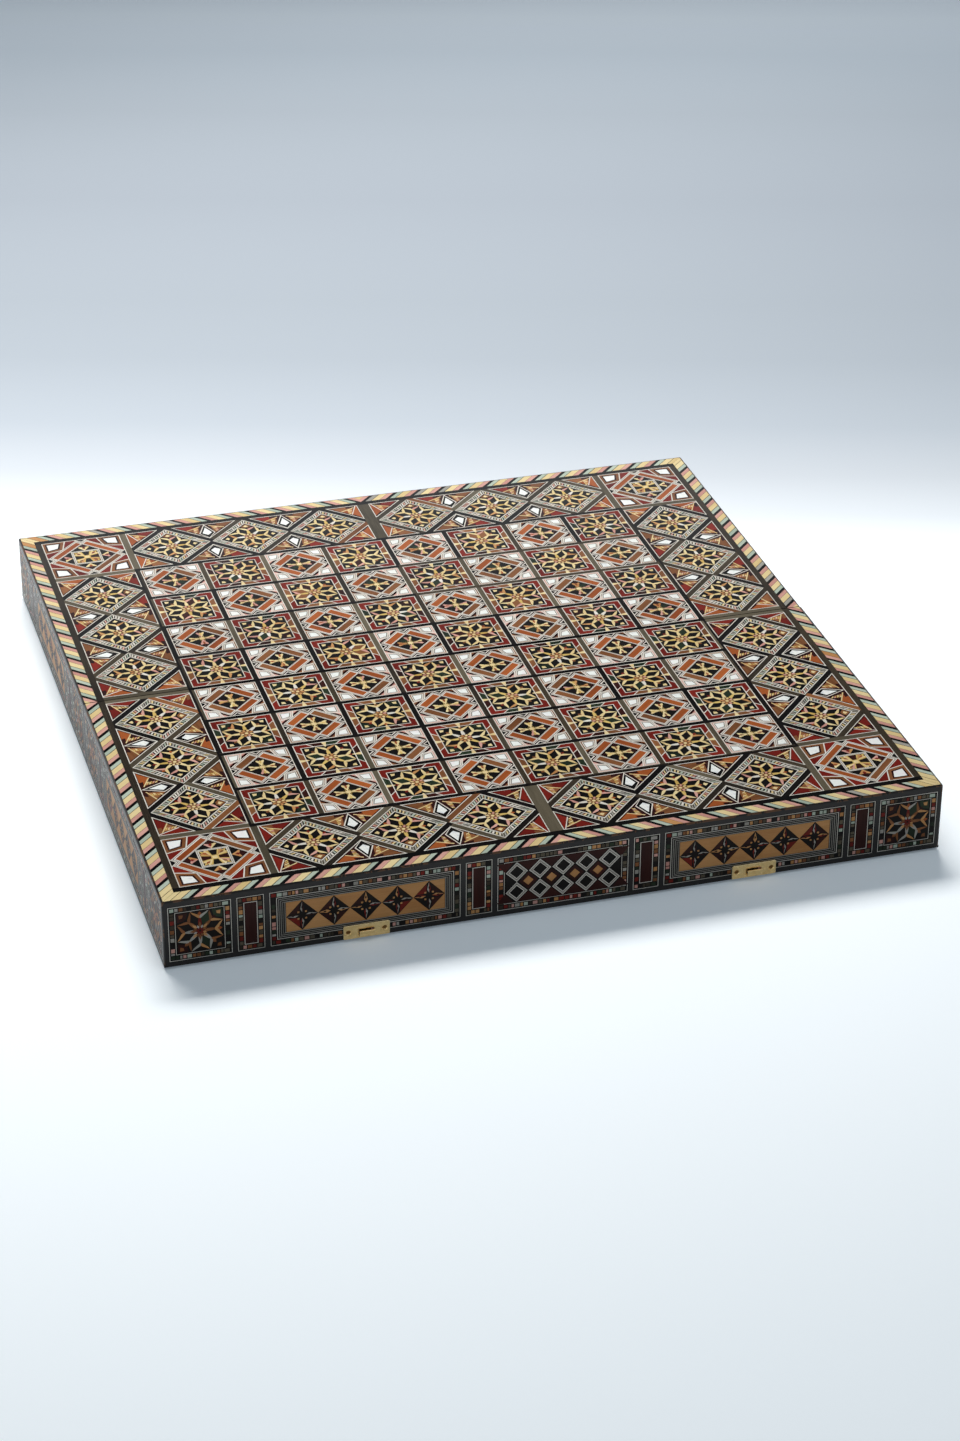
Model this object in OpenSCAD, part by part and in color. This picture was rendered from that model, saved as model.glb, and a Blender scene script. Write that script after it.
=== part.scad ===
// Folding games box of inlaid wood: two hinged trays that open flat.
// The chess board is on the outer faces, the backgammon field is inside the trays.
// Frame: +Z up, X along the hinge, front tray at -Y, origin under the hinge on the table.
// The box is drawn open and chess side up, so the tray rims and the hinge knuckles face down.

/* [Box] */
// Length of the box along the hinge
board_w = 500; // [420:1:620]
// Depth of one tray, from the closed seam to its outer face
leaf_d = 250; // [215:1:310]
// Height of one tray, from its rim to the chess face
leaf_h = 46; // [40:1:70]
// Gap between the two trays when they lie open
seam_gap = 0.8; // [0.6:0.1:1.6]

/* [Tray] */
// Thickness of the four walls
wall_t = 10; // [9:0.5:14]
// Thickness of the base board
board_t = 5; // [3:0.5:8]
// Thickness of the inlay sheet on the chess face
inlay_t = 1.2; // [0.6:0.1:2]
// Thickness of the ebonised sheet round the sides
side_t = 1.3; // [0.8:0.1:2]
// Thickness of the strip glued on the rim
rim_t = 1.5; // [1.2:0.1:3]
// Thickness of the veneer that lines the walls
lining_t = 0.8; // [0.5:0.1:1.5]
// Glue line where two rim strips meet
glue_t = 0.05; // [0.02:0.01:0.2]

/* [Chess face] */
// Width of the striped edging
rope_w = 8.2; // [6:0.1:12]
// Width of the black band inside the edging
band_w = 4.5; // [3:0.1:7]
// Width of the star border
border_w = 56; // [40:1:64]
// Width of the strips between the squares
strip_w = 3.5; // [2:0.1:5]
// Width of the bars between the star diamonds and the triangles
bar_w = 4; // [2:0.1:5]
// Space kept between a star diamond and the corners of its cell's rhombus
star_gap = 0.55; // [0.4:0.05:1]
// Width of the strip at the middle of each border
middle_w = 8.6; // [4:0.1:10]
// Star diamonds in half a border
run_count = 3; // [2:1:4]

/* [Side panels] */
// Height of the inlaid side panels
panel_h = 38; // [30:1:38]
// Space left under the chess face above the panels
panel_drop = 4.4; // [3:0.1:5]
// Space between two panels, and at the corners
panel_gap = 3.5; // [2:0.1:5]
// Width of the star panels at the corners
star_w = 38.5; // [30:0.5:40]
// Width of the slim panels
slim_w = 16.6; // [12:0.1:20]
// Width of the panel in the middle of the long walls
centre_w = 84; // [60:1:100]

/* [Backgammon field] */
// Thickness of the field veneer
field_t = 1; // [0.6:0.1:2]
// Frame of plain veneer left round the points
field_edge = 6; // [3:0.5:12]
// Length of a point
point_l = 190; // [140:1:195]
// Space between two points at their wide ends
point_gap = 3; // [1:0.5:6]

/* [Hinges] */
// Distance of each hinge from the middle of the box
hinge_x = 165; // [120:1:190]
// Length of a hinge
hinge_l = 35; // [25:1:50]
// Outer radius of the knuckles
knuckle_r = 1.6; // [1.4:0.1:2.2]
// Radius of the hinge pin
pin_r = 0.8; // [0.6:0.05:0.9]
// Radial play of the pin in its knuckles
pin_play = 0.05; // [0.02:0.01:0.1]
// Thickness of a hinge plate
plate_t = 1; // [0.8:0.1:1.1]
// Width of a hinge plate
plate_w = 7.6; // [6:0.1:8]
// Number of knuckles in a hinge
knuckle_count = 5; // [3:2:7]
// Gap between the closed rims
rim_gap = 0.4; // [0.3:0.1:0.8]

/* [Latches] */
// Distance of each latch from the middle of the box
latch_x = 125; // [90:1:170]
// Length of a latch plate
latch_w = 29; // [26:0.5:36]
// Height of the catch plate
catch_h = 9.5; // [9:0.5:12]
// Height of the plate that carries the hook
hook_plate_h = 12; // [11:0.5:14]
// Thickness of the latch plates
latch_t = 1; // [0.8:0.1:1.2]
// Thickness of the hook and of the catch tongue
hook_t = 0.7; // [0.5:0.1:0.9]
// Width of the catch tongue
tongue_w = 9.6; // [8:0.1:11]
// Length of the hook, from its rivet to the middle of its bar
hook_r = 13; // [10.5:0.1:16]
// Free space on each face of the hook
hook_gap = 0.3; // [0.25:0.05:0.5]

/* [Screws] */
// Radius of a screw head
head_r = 1.7; // [1.4:0.1:1.9]
// Radius of a screw shank
shank_r = 0.9; // [0.7:0.05:1]
// Length of a screw
screw_l = 6.5; // [5:0.5:8]
// Play of a screw in its hole
screw_play = 0.05; // [0.03:0.01:0.1]

/* [Hidden] */
$fn = 48;
eps = 0.01;

// Heights, counted from the table
axis_z = knuckle_r;
rim_z = axis_z + rim_gap / 2;
top_z = rim_z + leaf_h;
board_top = top_z - inlay_t;
board_low = board_top - board_t;
wall_low = rim_z + rim_t;
field_low = board_low - field_t;

// Plan of one tray, drawn at +Y: the front tray is its mirror image
half_w = board_w / 2;
seam_y = seam_gap / 2;
core_x = half_w - side_t;
core_y = leaf_d - side_t;
tray_x = core_x - wall_t;
tray_y0 = seam_y + wall_t;
tray_y1 = core_y - wall_t;
room_x = tray_x - lining_t;
room_y0 = tray_y0 + lining_t;
room_y1 = tray_y1 - lining_t;

// Plan of the chess face
ground_x = core_x - rope_w;
ground_y = core_y - rope_w;
frame_x = ground_x - band_w;
frame_y = ground_y - band_w;
border_x = frame_x - border_w;
border_y = frame_y - border_w;
columns = 8;
rows = 4;
pitch_x = (2 * border_x - strip_w) / columns;
pitch_y = (border_y - strip_w / 2) / rows;
run_x = border_x - band_w - middle_w / 2;
run_y = border_y - band_w - middle_w / 2;
cell_x = run_x / run_count;
cell_y = run_y / run_count;

// Side panels, measured along the wall from its middle or from the seam
panel_z1 = top_z - panel_drop;
panel_z0 = panel_z1 - panel_h;
star_x = half_w - panel_gap - star_w;
slim_out_x = star_x - panel_gap - slim_w;
slim_in_x = centre_w / 2 + panel_gap;
long_x0 = slim_in_x + slim_w + panel_gap;
long_x1 = slim_out_x - panel_gap;
star_y1 = leaf_d - panel_gap - star_w;
slim_y1 = star_y1 - panel_gap - slim_w;
star_y0 = seam_y + panel_gap;
slim_y0 = star_y0 + star_w + panel_gap;
long_y0 = slim_y0 + slim_w + panel_gap;
long_y1 = slim_y1 - panel_gap;

// Backgammon points: six at each end of each tray
point_count = 6;
points_y0 = room_y0 + field_edge;
point_pitch = (room_y1 - room_y0 - 2 * field_edge) / point_count;
point_base_x = room_x - field_edge;

// Hinge
knuckle_gap = 0.3;
knuckle_l = (hinge_l - (knuckle_count - 1) * knuckle_gap) / knuckle_count;
groove_r = knuckle_r + 0.3;
plate_y0 = groove_r + 0.1;
plate_y1 = plate_y0 + plate_w;
plate_play = 0.1;
hinge_screw_x = hinge_l / 2 - 7;
hinge_screw_y = (plate_y0 + plate_y1) / 2;

// Latch, measured along X, along V from the closed seam, and out of the wall along N
latch_edge = 0.5;
catch_v0 = rim_gap / 2 + latch_edge;
tongue_v0 = catch_v0 + 1;
tongue_v1 = catch_v0 + 5.6;
tongue_n0 = latch_t + 2 * hook_gap + hook_t;
tongue_n1 = tongue_n0 + hook_t;
bar_half = 1;
hook_v = (tongue_v0 + hook_t + hook_gap + bar_half) + 1 - hook_r;
hook_x = 7;
hook_n0 = latch_t + hook_gap;
hook_n1 = hook_n0 + hook_t;
hook_sweep = 21;
arm_half = 1.3;
rivet_r = 1.1;
rivet_head_r = 2.2;
rivet_head_t = 0.7;
eye_r = 2.6;
latch_screw_x = latch_w / 2 - 3.1;
latch_screw_v = catch_v0 + catch_h / 2;
corner_r = 0.9;

module front() {
    mirror([0, 1, 0]) children();
}

module both_sides() {
    children();
    mirror([1, 0, 0]) children();
}

// Box from corner to corner
module block(low, high) {
    translate(low) cube(high - low);
}

module sheet(z0, z1) {
    translate([0, 0, z0]) linear_extrude(z1 - z0) children();
}

module rect(x0, y0, x1, y1) {
    translate([x0, y0]) square([x1 - x0, y1 - y0]);
}

// What the hinges take out of the rim and the wall behind it
module hinge_room() {
    both_sides() translate([hinge_x, 0, 0]) {
        translate([0, 0, axis_z]) rotate([0, 90, 0])
            cylinder(r = groove_r, h = hinge_l + 2 * plate_play, center = true);
        block([-hinge_l / 2 - plate_play, 0, rim_z - eps],
              [hinge_l / 2 + plate_play, plate_y1 + plate_play, rim_z + plate_t]);
        for (s = [-1, 1]) translate([s * hinge_screw_x, hinge_screw_y, rim_z])
            cylinder(r = shank_r + screw_play, h = screw_l + 0.5);
    }
}

// What the latch screws take out of the outer wall
module latch_room() {
    for (side = [-1, 1]) at_latch(side) for (s = [-1, 1])
        translate([s * latch_screw_x, latch_screw_v, -screw_l])
            cylinder(r = shank_r + screw_play, h = screw_l + eps);
}

// Turns latch coordinates (X, V, N) into the outer wall of the tray at +Y
module at_latch(side) {
    translate([side * latch_x, leaf_d, axis_z]) rotate([90, 0, 0]) mirror([0, 0, 1]) children();
}

module base_board() {
    color("burlywood") block([-core_x, seam_y, board_low], [core_x, core_y, board_top]);
}

module outer_wall() {
    color("sienna") difference() {
        block([-core_x, tray_y1, wall_low], [core_x, core_y, board_low]);
        latch_room();
    }
}

module hinge_wall() {
    color("sienna") difference() {
        block([-core_x, seam_y, wall_low], [core_x, tray_y0, board_low]);
        hinge_room();
    }
}

module end_wall(side) {
    color("sienna") mirror([side < 0 ? 1 : 0, 0, 0])
        block([tray_x, tray_y0, wall_low], [core_x, tray_y1, board_low]);
}

module rim_strips() {
    color("saddlebrown") {
        block([-half_w, room_y1, rim_z], [half_w, leaf_d, wall_low]);
        both_sides() block([room_x, room_y0 + glue_t, rim_z], [half_w, room_y1 - glue_t, wall_low]);
        difference() {
            block([-half_w, seam_y, rim_z], [half_w, room_y0, wall_low]);
            hinge_room();
        }
    }
}

// One wall's panel openings as rectangles [start, end] along the wall
function long_wall_panels() = [
    [star_x, star_x + star_w], [slim_out_x, slim_out_x + slim_w],
    [long_x0, long_x1], [slim_in_x, slim_in_x + slim_w]
];

function end_wall_panels() = [
    [star_y0, star_y0 + star_w], [slim_y0, slim_y0 + slim_w], [long_y0, long_y1],
    [slim_y1, slim_y1 + slim_w], [star_y1, star_y1 + star_w]
];

module on_long_wall(span) {
    block([span[0], core_y, panel_z0], [span[1], leaf_d, panel_z1]);
}

module on_end_wall(span) {
    block([core_x, span[0], panel_z0], [half_w, span[1], panel_z1]);
}

module side_sheets() {
    color("black") {
        difference() {
            block([-half_w, core_y, wall_low], [half_w, leaf_d, top_z]);
            both_sides() for (span = long_wall_panels()) on_long_wall(span);
            on_long_wall([-centre_w / 2, centre_w / 2]);
            latch_room();
        }
        both_sides() difference() {
            block([core_x, seam_y, wall_low], [half_w, core_y, top_z]);
            for (span = end_wall_panels()) on_end_wall(span);
        }
    }
}

module star_panels() {
    color("darkred") both_sides() {
        on_long_wall(long_wall_panels()[0]);
        for (i = [0, 4]) on_end_wall(end_wall_panels()[i]);
    }
}

module slim_panels() {
    color("maroon") both_sides() {
        for (i = [1, 3]) on_long_wall(long_wall_panels()[i]);
        for (i = [1, 3]) on_end_wall(end_wall_panels()[i]);
    }
}

// The screws of the latch plates pass through the long panels
module long_panels() {
    color("tan") {
        difference() {
            both_sides() on_long_wall(long_wall_panels()[2]);
            latch_room();
        }
        both_sides() on_end_wall(end_wall_panels()[2]);
    }
}

module centre_panel() {
    color("dimgray") on_long_wall([-centre_w / 2, centre_w / 2]);
}

module rope_edging() {
    color("wheat") sheet(board_top, top_z) {
        polygon([[-core_x, core_y], [core_x, core_y], [ground_x, ground_y], [-ground_x, ground_y]]);
        both_sides() polygon([[core_x, seam_y], [core_x, core_y], [ground_x, ground_y], [ground_x, seam_y]]);
    }
}

module square_at(column, row) {
    translate([(column - (columns - 1) / 2) * pitch_x, (row + 0.5) * pitch_y])
        square([pitch_x - strip_w, pitch_y - strip_w], center = true);
}

// Squares of one colour: parity 1 puts a light square at the far left corner
module squares(parity) {
    for (column = [0 : columns - 1], row = [0 : rows - 1])
        if ((column + row) % 2 == parity) square_at(column, row);
}

// Border run along X: its cells lie between the middle strip and the corner panel
module along_x() {
    translate([middle_w / 2, border_y]) children();
}

// Border run along Y, with its cells counted from the seam
module along_y() {
    translate([border_x, middle_w / 2]) mirror([1, -1, 0]) children();
}

// Half width and half height of a rhombus that lies back from its cell's by this distance
function inner_x(cell, back) = cell / 2 - back * norm([cell, border_w]) / border_w;
function inner_y(cell, back) = border_w / 2 - back * norm([cell, border_w]) / cell;

// The bars run along the diamonds, outside them
module diamond(cell) {
    dx = inner_x(cell, star_gap);
    dy = inner_y(cell, star_gap);
    translate([cell / 2, border_w / 2]) polygon([[dx, 0], [0, dy], [-dx, 0], [0, -dy]]);
}

// Triangle between two crossing bars, with its foot on the border's edge
module triangle(cell, from, to) {
    dx = inner_x(cell, bar_w - star_gap);
    dy = inner_y(cell, bar_w - star_gap);
    polygon([[max(from, -dx), 0], [min(to, dx), 0], [0, dy]]);
}

module diamonds(cell) {
    for (i = [0 : run_count - 1]) translate([i * cell, 0]) diamond(cell);
}

module triangles(cell) {
    for (flip = [0, 1]) translate([0, flip * border_w]) mirror([0, flip, 0]) {
        triangle(cell, 0, cell);
        for (i = [1 : run_count - 1]) translate([i * cell, 0]) triangle(cell, -cell, cell);
        translate([run_count * cell, 0]) triangle(cell, -cell, 0);
    }
}

module corner_panels_plan() {
    both_sides() rect(border_x, border_y, frame_x, frame_y);
}

module diamonds_plan() {
    both_sides() {
        along_x() diamonds(cell_x);
        along_y() diamonds(cell_y);
    }
}

module triangles_plan() {
    both_sides() {
        along_x() triangles(cell_x);
        along_y() triangles(cell_y);
    }
}

module black_ground() {
    color("black") sheet(board_top, top_z) difference() {
        rect(-ground_x, seam_y, ground_x, ground_y);
        squares(0);
        squares(1);
        corner_panels_plan();
        diamonds_plan();
        triangles_plan();
    }
}

module light_squares(parity) {
    color("ivory") sheet(board_top, top_z) squares(parity);
}

module dark_squares(parity) {
    color("darkred") sheet(board_top, top_z) squares(parity);
}

module star_diamonds() {
    color("goldenrod") sheet(board_top, top_z) diamonds_plan();
}

module border_triangles() {
    color("chocolate") sheet(board_top, top_z) triangles_plan();
}

module corner_panels() {
    color("brown") sheet(board_top, top_z) corner_panels_plan();
}

module wall_linings() {
    color("peru") {
        block([-tray_x, room_y1, wall_low], [tray_x, tray_y1, board_low]);
        block([-tray_x, tray_y0, wall_low], [tray_x, room_y0, board_low]);
        both_sides() block([room_x, room_y0, wall_low], [tray_x, room_y1, board_low]);
    }
}

// Points whose number has the given parity, at both ends of the tray
module points(parity) {
    for (side = [0, 1]) mirror([side, 0]) for (i = [0 : point_count - 1])
        if ((i + side) % 2 == parity) translate([point_base_x, points_y0 + i * point_pitch])
            polygon([[0, point_gap / 2], [0, point_pitch - point_gap / 2], [-point_l, point_pitch / 2]]);
}

module field_veneer() {
    color("saddlebrown") sheet(field_low, board_low) difference() {
        rect(-room_x, room_y0, room_x, room_y1);
        points(0);
        points(1);
    }
}

module light_points(parity) {
    color("wheat") sheet(field_low, board_low) points(parity);
}

module dark_points(parity) {
    color("black") sheet(field_low, board_low) points(parity);
}

module knuckles(first) {
    for (i = [first : 2 : knuckle_count - 1])
        translate([-hinge_l / 2 + i * (knuckle_l + knuckle_gap), 0, axis_z]) rotate([0, 90, 0])
            cylinder(r = knuckle_r, h = knuckle_l);
}

module knuckle_tabs(first) {
    for (i = [first : 2 : knuckle_count - 1])
        translate([-hinge_l / 2 + i * (knuckle_l + knuckle_gap), 0, 0])
            block([0, seam_y / 2, rim_z], [knuckle_l, plate_y0 + eps, rim_z + plate_t]);
}

// Cone of a countersunk hole, its wide end at z = 0 and pointing up
module countersink(play) {
    cylinder(r1 = head_r + play, r2 = shank_r + play, h = head_r - shank_r);
    cylinder(r = shank_r + play, h = screw_l);
}

module hinge_leaves(first) {
    color("gold") both_sides() translate([hinge_x, 0, 0]) difference() {
        union() {
            block([-hinge_l / 2, plate_y0, rim_z], [hinge_l / 2, plate_y1, rim_z + plate_t]);
            knuckle_tabs(first);
            knuckles(first);
        }
        translate([0, 0, axis_z]) rotate([0, 90, 0])
            cylinder(r = pin_r + pin_play, h = hinge_l + 1, center = true);
        for (s = [-1, 1]) translate([s * hinge_screw_x, hinge_screw_y, rim_z - eps])
            countersink(screw_play);
    }
}

module hinge_pins() {
    color("gold") both_sides() translate([hinge_x, 0, axis_z]) rotate([0, 90, 0])
        cylinder(r = pin_r, h = hinge_l, center = true);
}

module hinge_screws() {
    color("gold") both_sides() for (s = [-1, 1])
        translate([hinge_x + s * hinge_screw_x, hinge_screw_y, rim_z]) countersink(0);
}

// Screws of one latch plate, heads outwards
module latch_screws() {
    color("gold") for (side = [-1, 1]) at_latch(side) for (s = [-1, 1])
        translate([s * latch_screw_x, latch_screw_v, latch_t]) mirror([0, 0, 1]) countersink(0);
}

module latch_screw_holes() {
    for (s = [-1, 1]) translate([s * latch_screw_x, latch_screw_v, latch_t + eps])
        mirror([0, 0, 1]) countersink(screw_play);
}

module latch_plate(height) {
    translate([0, catch_v0, 0]) linear_extrude(latch_t) {
        rect(-latch_w / 2 + corner_r, 0, latch_w / 2 - corner_r, height);
        rect(-latch_w / 2, corner_r, latch_w / 2, height - corner_r);
        for (x = [-1, 1], v = [corner_r, height - corner_r])
            translate([x * (latch_w / 2 - corner_r), v]) circle(corner_r);
    }
}

// Tongue that stands out of the catch plate and turns away from the seam
module catch_tongue() {
    bend_r = 2 * hook_t;
    translate([-tongue_w / 2, tongue_v0, 0]) rotate([90, 0, 90]) linear_extrude(tongue_w) {
        rect(0, latch_t - eps, hook_t, tongue_n1 - bend_r);
        rect(bend_r, tongue_n0, tongue_v1 - tongue_v0, tongue_n1);
        translate([bend_r, tongue_n1 - bend_r]) intersection() {
            difference() {
                circle(bend_r);
                circle(bend_r - hook_t);
            }
            rect(-bend_r, 0, 0, bend_r);
        }
    }
}

// The window is the hole that the tongue was bent out of
module catch_plates() {
    color("gold") for (side = [-1, 1]) at_latch(side) {
        difference() {
            latch_plate(catch_h);
            latch_screw_holes();
            block([-tongue_w / 2, tongue_v0 + hook_t + 0.4, -eps],
                  [tongue_w / 2, tongue_v1 + 0.6, latch_t + eps]);
        }
        catch_tongue();
    }
}

// The hook hangs on the rear tray, whose V axis points away from the seam like the front one
module hook_plates() {
    color("gold") for (side = [-1, 1]) at_latch(side) difference() {
        latch_plate(hook_plate_h);
        latch_screw_holes();
        translate([hook_x, -hook_v, -eps]) cylinder(r = rivet_r, h = latch_t + 2 * eps);
    }
}

module hook_rivets() {
    color("gold") for (side = [-1, 1]) at_latch(side) translate([hook_x, -hook_v, 0]) {
        cylinder(r = rivet_r, h = hook_n1 + hook_gap + rivet_head_t);
        translate([0, 0, hook_n1 + hook_gap]) cylinder(r = rivet_head_r, h = rivet_head_t);
    }
}

// Parked along the wall, its bar turned towards the seam
module latch_hook(side) {
    color("gold") at_latch(side) translate([hook_x, -hook_v, hook_n0]) linear_extrude(hook_t) {
        difference() {
            union() {
                circle(eye_r);
                rect(0, -arm_half, hook_r, arm_half);
            }
            circle(rivet_r + screw_play);
        }
        intersection() {
            difference() {
                circle(hook_r + bar_half);
                circle(hook_r - bar_half);
            }
            polygon([[0, arm_half], [0, -arm_half], [2 * hook_r, -arm_half], [2 * hook_r, arm_half]]);
        }
        intersection() {
            difference() {
                circle(hook_r + bar_half);
                circle(hook_r - bar_half);
            }
            polygon([[0, 0], 2 * hook_r * [1, 0], 2 * hook_r * [cos(hook_sweep), -sin(hook_sweep)]]);
        }
    }
}

front() base_board();  // front_base_board
front() outer_wall();  // front_outer_wall
front() hinge_wall();  // front_hinge_wall
front() end_wall(-1);  // front_left_wall
front() end_wall(1);  // front_right_wall
front() rim_strips();  // front_rim_strips
front() side_sheets();  // front_side_sheets
front() rope_edging();  // front_rope_edging
front() black_ground();  // front_black_ground
front() light_squares(0);  // front_light_squares
front() dark_squares(1);  // front_dark_squares
front() star_diamonds();  // front_star_diamonds
front() border_triangles();  // front_border_triangles
front() corner_panels();  // front_corner_panels
front() star_panels();  // front_star_panels
front() slim_panels();  // front_slim_panels
front() long_panels();  // front_long_panels
front() centre_panel();  // front_centre_panel
front() wall_linings();  // front_wall_linings
front() field_veneer();  // front_field_veneer
front() light_points(0);  // front_light_points
front() dark_points(1);  // front_dark_points

base_board();  // rear_base_board
outer_wall();  // rear_outer_wall
hinge_wall();  // rear_hinge_wall
end_wall(-1);  // rear_left_wall
end_wall(1);  // rear_right_wall
rim_strips();  // rear_rim_strips
side_sheets();  // rear_side_sheets
rope_edging();  // rear_rope_edging
black_ground();  // rear_black_ground
light_squares(1);  // rear_light_squares
dark_squares(0);  // rear_dark_squares
star_diamonds();  // rear_star_diamonds
border_triangles();  // rear_border_triangles
corner_panels();  // rear_corner_panels
star_panels();  // rear_star_panels
slim_panels();  // rear_slim_panels
long_panels();  // rear_long_panels
centre_panel();  // rear_centre_panel
wall_linings();  // rear_wall_linings
field_veneer();  // rear_field_veneer
light_points(1);  // rear_light_points
dark_points(0);  // rear_dark_points

front() hinge_leaves(0);  // front_hinge_leaves
hinge_leaves(1);  // rear_hinge_leaves
hinge_pins();
front() hinge_screws();  // front_hinge_screws
hinge_screws();  // rear_hinge_screws
front() catch_plates();
front() latch_screws();  // catch_screws
hook_plates();
latch_screws();  // hook_screws
hook_rivets();
latch_hook(-1);  // left_latch_hook
latch_hook(1);  // right_latch_hook
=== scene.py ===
import math
import random

import bmesh
import bpy
from mathutils import Matrix, Vector
from mathutils.geometry import delaunay_2d_cdt


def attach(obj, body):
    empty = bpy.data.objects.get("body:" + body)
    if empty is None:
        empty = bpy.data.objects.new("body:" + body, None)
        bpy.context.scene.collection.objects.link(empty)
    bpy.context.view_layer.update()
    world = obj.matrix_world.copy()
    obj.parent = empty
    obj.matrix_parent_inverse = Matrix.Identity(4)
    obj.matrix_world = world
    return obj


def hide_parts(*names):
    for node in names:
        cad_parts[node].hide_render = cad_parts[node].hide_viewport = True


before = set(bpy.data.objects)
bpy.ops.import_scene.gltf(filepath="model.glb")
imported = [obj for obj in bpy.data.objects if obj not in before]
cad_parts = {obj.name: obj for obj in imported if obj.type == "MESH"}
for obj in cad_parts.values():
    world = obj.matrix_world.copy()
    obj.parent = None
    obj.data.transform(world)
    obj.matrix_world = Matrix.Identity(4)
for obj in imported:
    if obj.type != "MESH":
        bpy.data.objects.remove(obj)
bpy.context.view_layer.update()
scene = bpy.context.scene
mm = 0.001


# Where the camera stood, fitted to the corners of the box in the photograph
shot = {"place": (-0.5535, -1.9366, 1.1448), "azimuth": -16.504, "elevation": 29.693, "roll": 0.313,
        "lens": 85.4, "sensor": 36}


def addCamera():
    data = bpy.data.cameras.new("camera")
    data.lens, data.sensor_width, data.sensor_fit = shot["lens"], shot["sensor"], "AUTO"
    camera = bpy.data.objects.new("camera", data)
    scene.collection.objects.link(camera)
    az, el, roll = (math.radians(shot[k]) for k in ("azimuth", "elevation", "roll"))
    back = Vector((math.sin(az) * math.cos(el), -math.cos(az) * math.cos(el), math.sin(el)))
    right = Vector((0, 0, 1)).cross(back).normalized()
    up = back.cross(right)
    right, up = (right * math.cos(roll) + up * math.sin(roll), up * math.cos(roll) - right * math.sin(roll))
    turn = Matrix((right, up, back)).transposed().to_4x4()
    camera.matrix_world = Matrix.Translation(shot["place"]) @ turn
    scene.camera = camera


addCamera()
print("camera placed")


def findSocket(sockets, key):
    if isinstance(key, int):
        return sockets[key]
    return next(s for s in sockets if s.enabled and key in (s.name, s.identifier))


class Wire:
    # An output socket that can stand in a sum
    def __init__(self, tree, socket):
        self.tree, self.socket = tree, socket

    def maths(self, operation, first, second):
        return addNode(self.tree, "ShaderNodeMath", {"operation": operation}, {0: first, 1: second})

    def __add__(self, other):
        return self.maths("ADD", self, other)

    __radd__ = __add__

    def __sub__(self, other):
        return self.maths("SUBTRACT", self, other)

    def __rsub__(self, other):
        return self.maths("SUBTRACT", other, self)

    def __mul__(self, other):
        return self.maths("MULTIPLY", self, other)

    __rmul__ = __mul__

    def __truediv__(self, other):
        return self.maths("DIVIDE", self, other)

    def __rtruediv__(self, other):
        return self.maths("DIVIDE", other, self)

    def __gt__(self, other):
        return self.maths("GREATER_THAN", self, other)

    def __lt__(self, other):
        return self.maths("LESS_THAN", self, other)


def plug(tree, sockets, values):
    # Links each wire to its socket, and sets any other value on it
    for key, value in values.items():
        socket = findSocket(sockets, key)
        if isinstance(value, Wire):
            tree.links.new(value.socket, socket)
        else:
            socket.default_value = value


def addNode(tree, kind, settings=None, sockets=None, output=None):
    node = tree.nodes.new(kind)
    for name, value in (settings or {}).items():
        if name == "stops":
            ramp = node.color_ramp.elements
            while len(ramp) < len(value):
                ramp.new(0.5)
            for element, (place, colour) in zip(ramp, value):
                element.position, element.color = place, colour
        else:
            setattr(node, name, value)
    plug(tree, node.inputs, sockets or {})
    found = findSocket(node.outputs, output) if output else next(s for s in node.outputs if s.enabled)
    return Wire(tree, found)


def mixed(tree, factor, first, second):
    return addNode(tree, "ShaderNodeMix", {"data_type": "RGBA"}, {"Factor": factor, "A": first, "B": second})


def noise(tree, place, scale, detail, **more):
    sockets = {"Vector": place, "Scale": scale, "Detail": detail, **more}
    return addNode(tree, "ShaderNodeTexNoise", {}, sockets)


def objectPlace(tree):
    return addNode(tree, "ShaderNodeTexCoord", {}, {}, "Object")


def storedValue(tree, name):
    return addNode(tree, "ShaderNodeAttribute", {"attribute_name": name}, {}, "Fac")


def dents(tree, strength, deep, height):
    return addNode(tree, "ShaderNodeBump", {}, {"Strength": strength, "Distance": deep, "Height": height})


def paint(tone):
    # From screen values of 0 to 255 to the linear colour that a shader takes
    def linear(v):
        return v / 12.92 if v <= 0.04045 else ((v + 0.055) / 1.055) ** 2.4
    return (*(linear(v / 255) for v in tone), 1)


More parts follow.
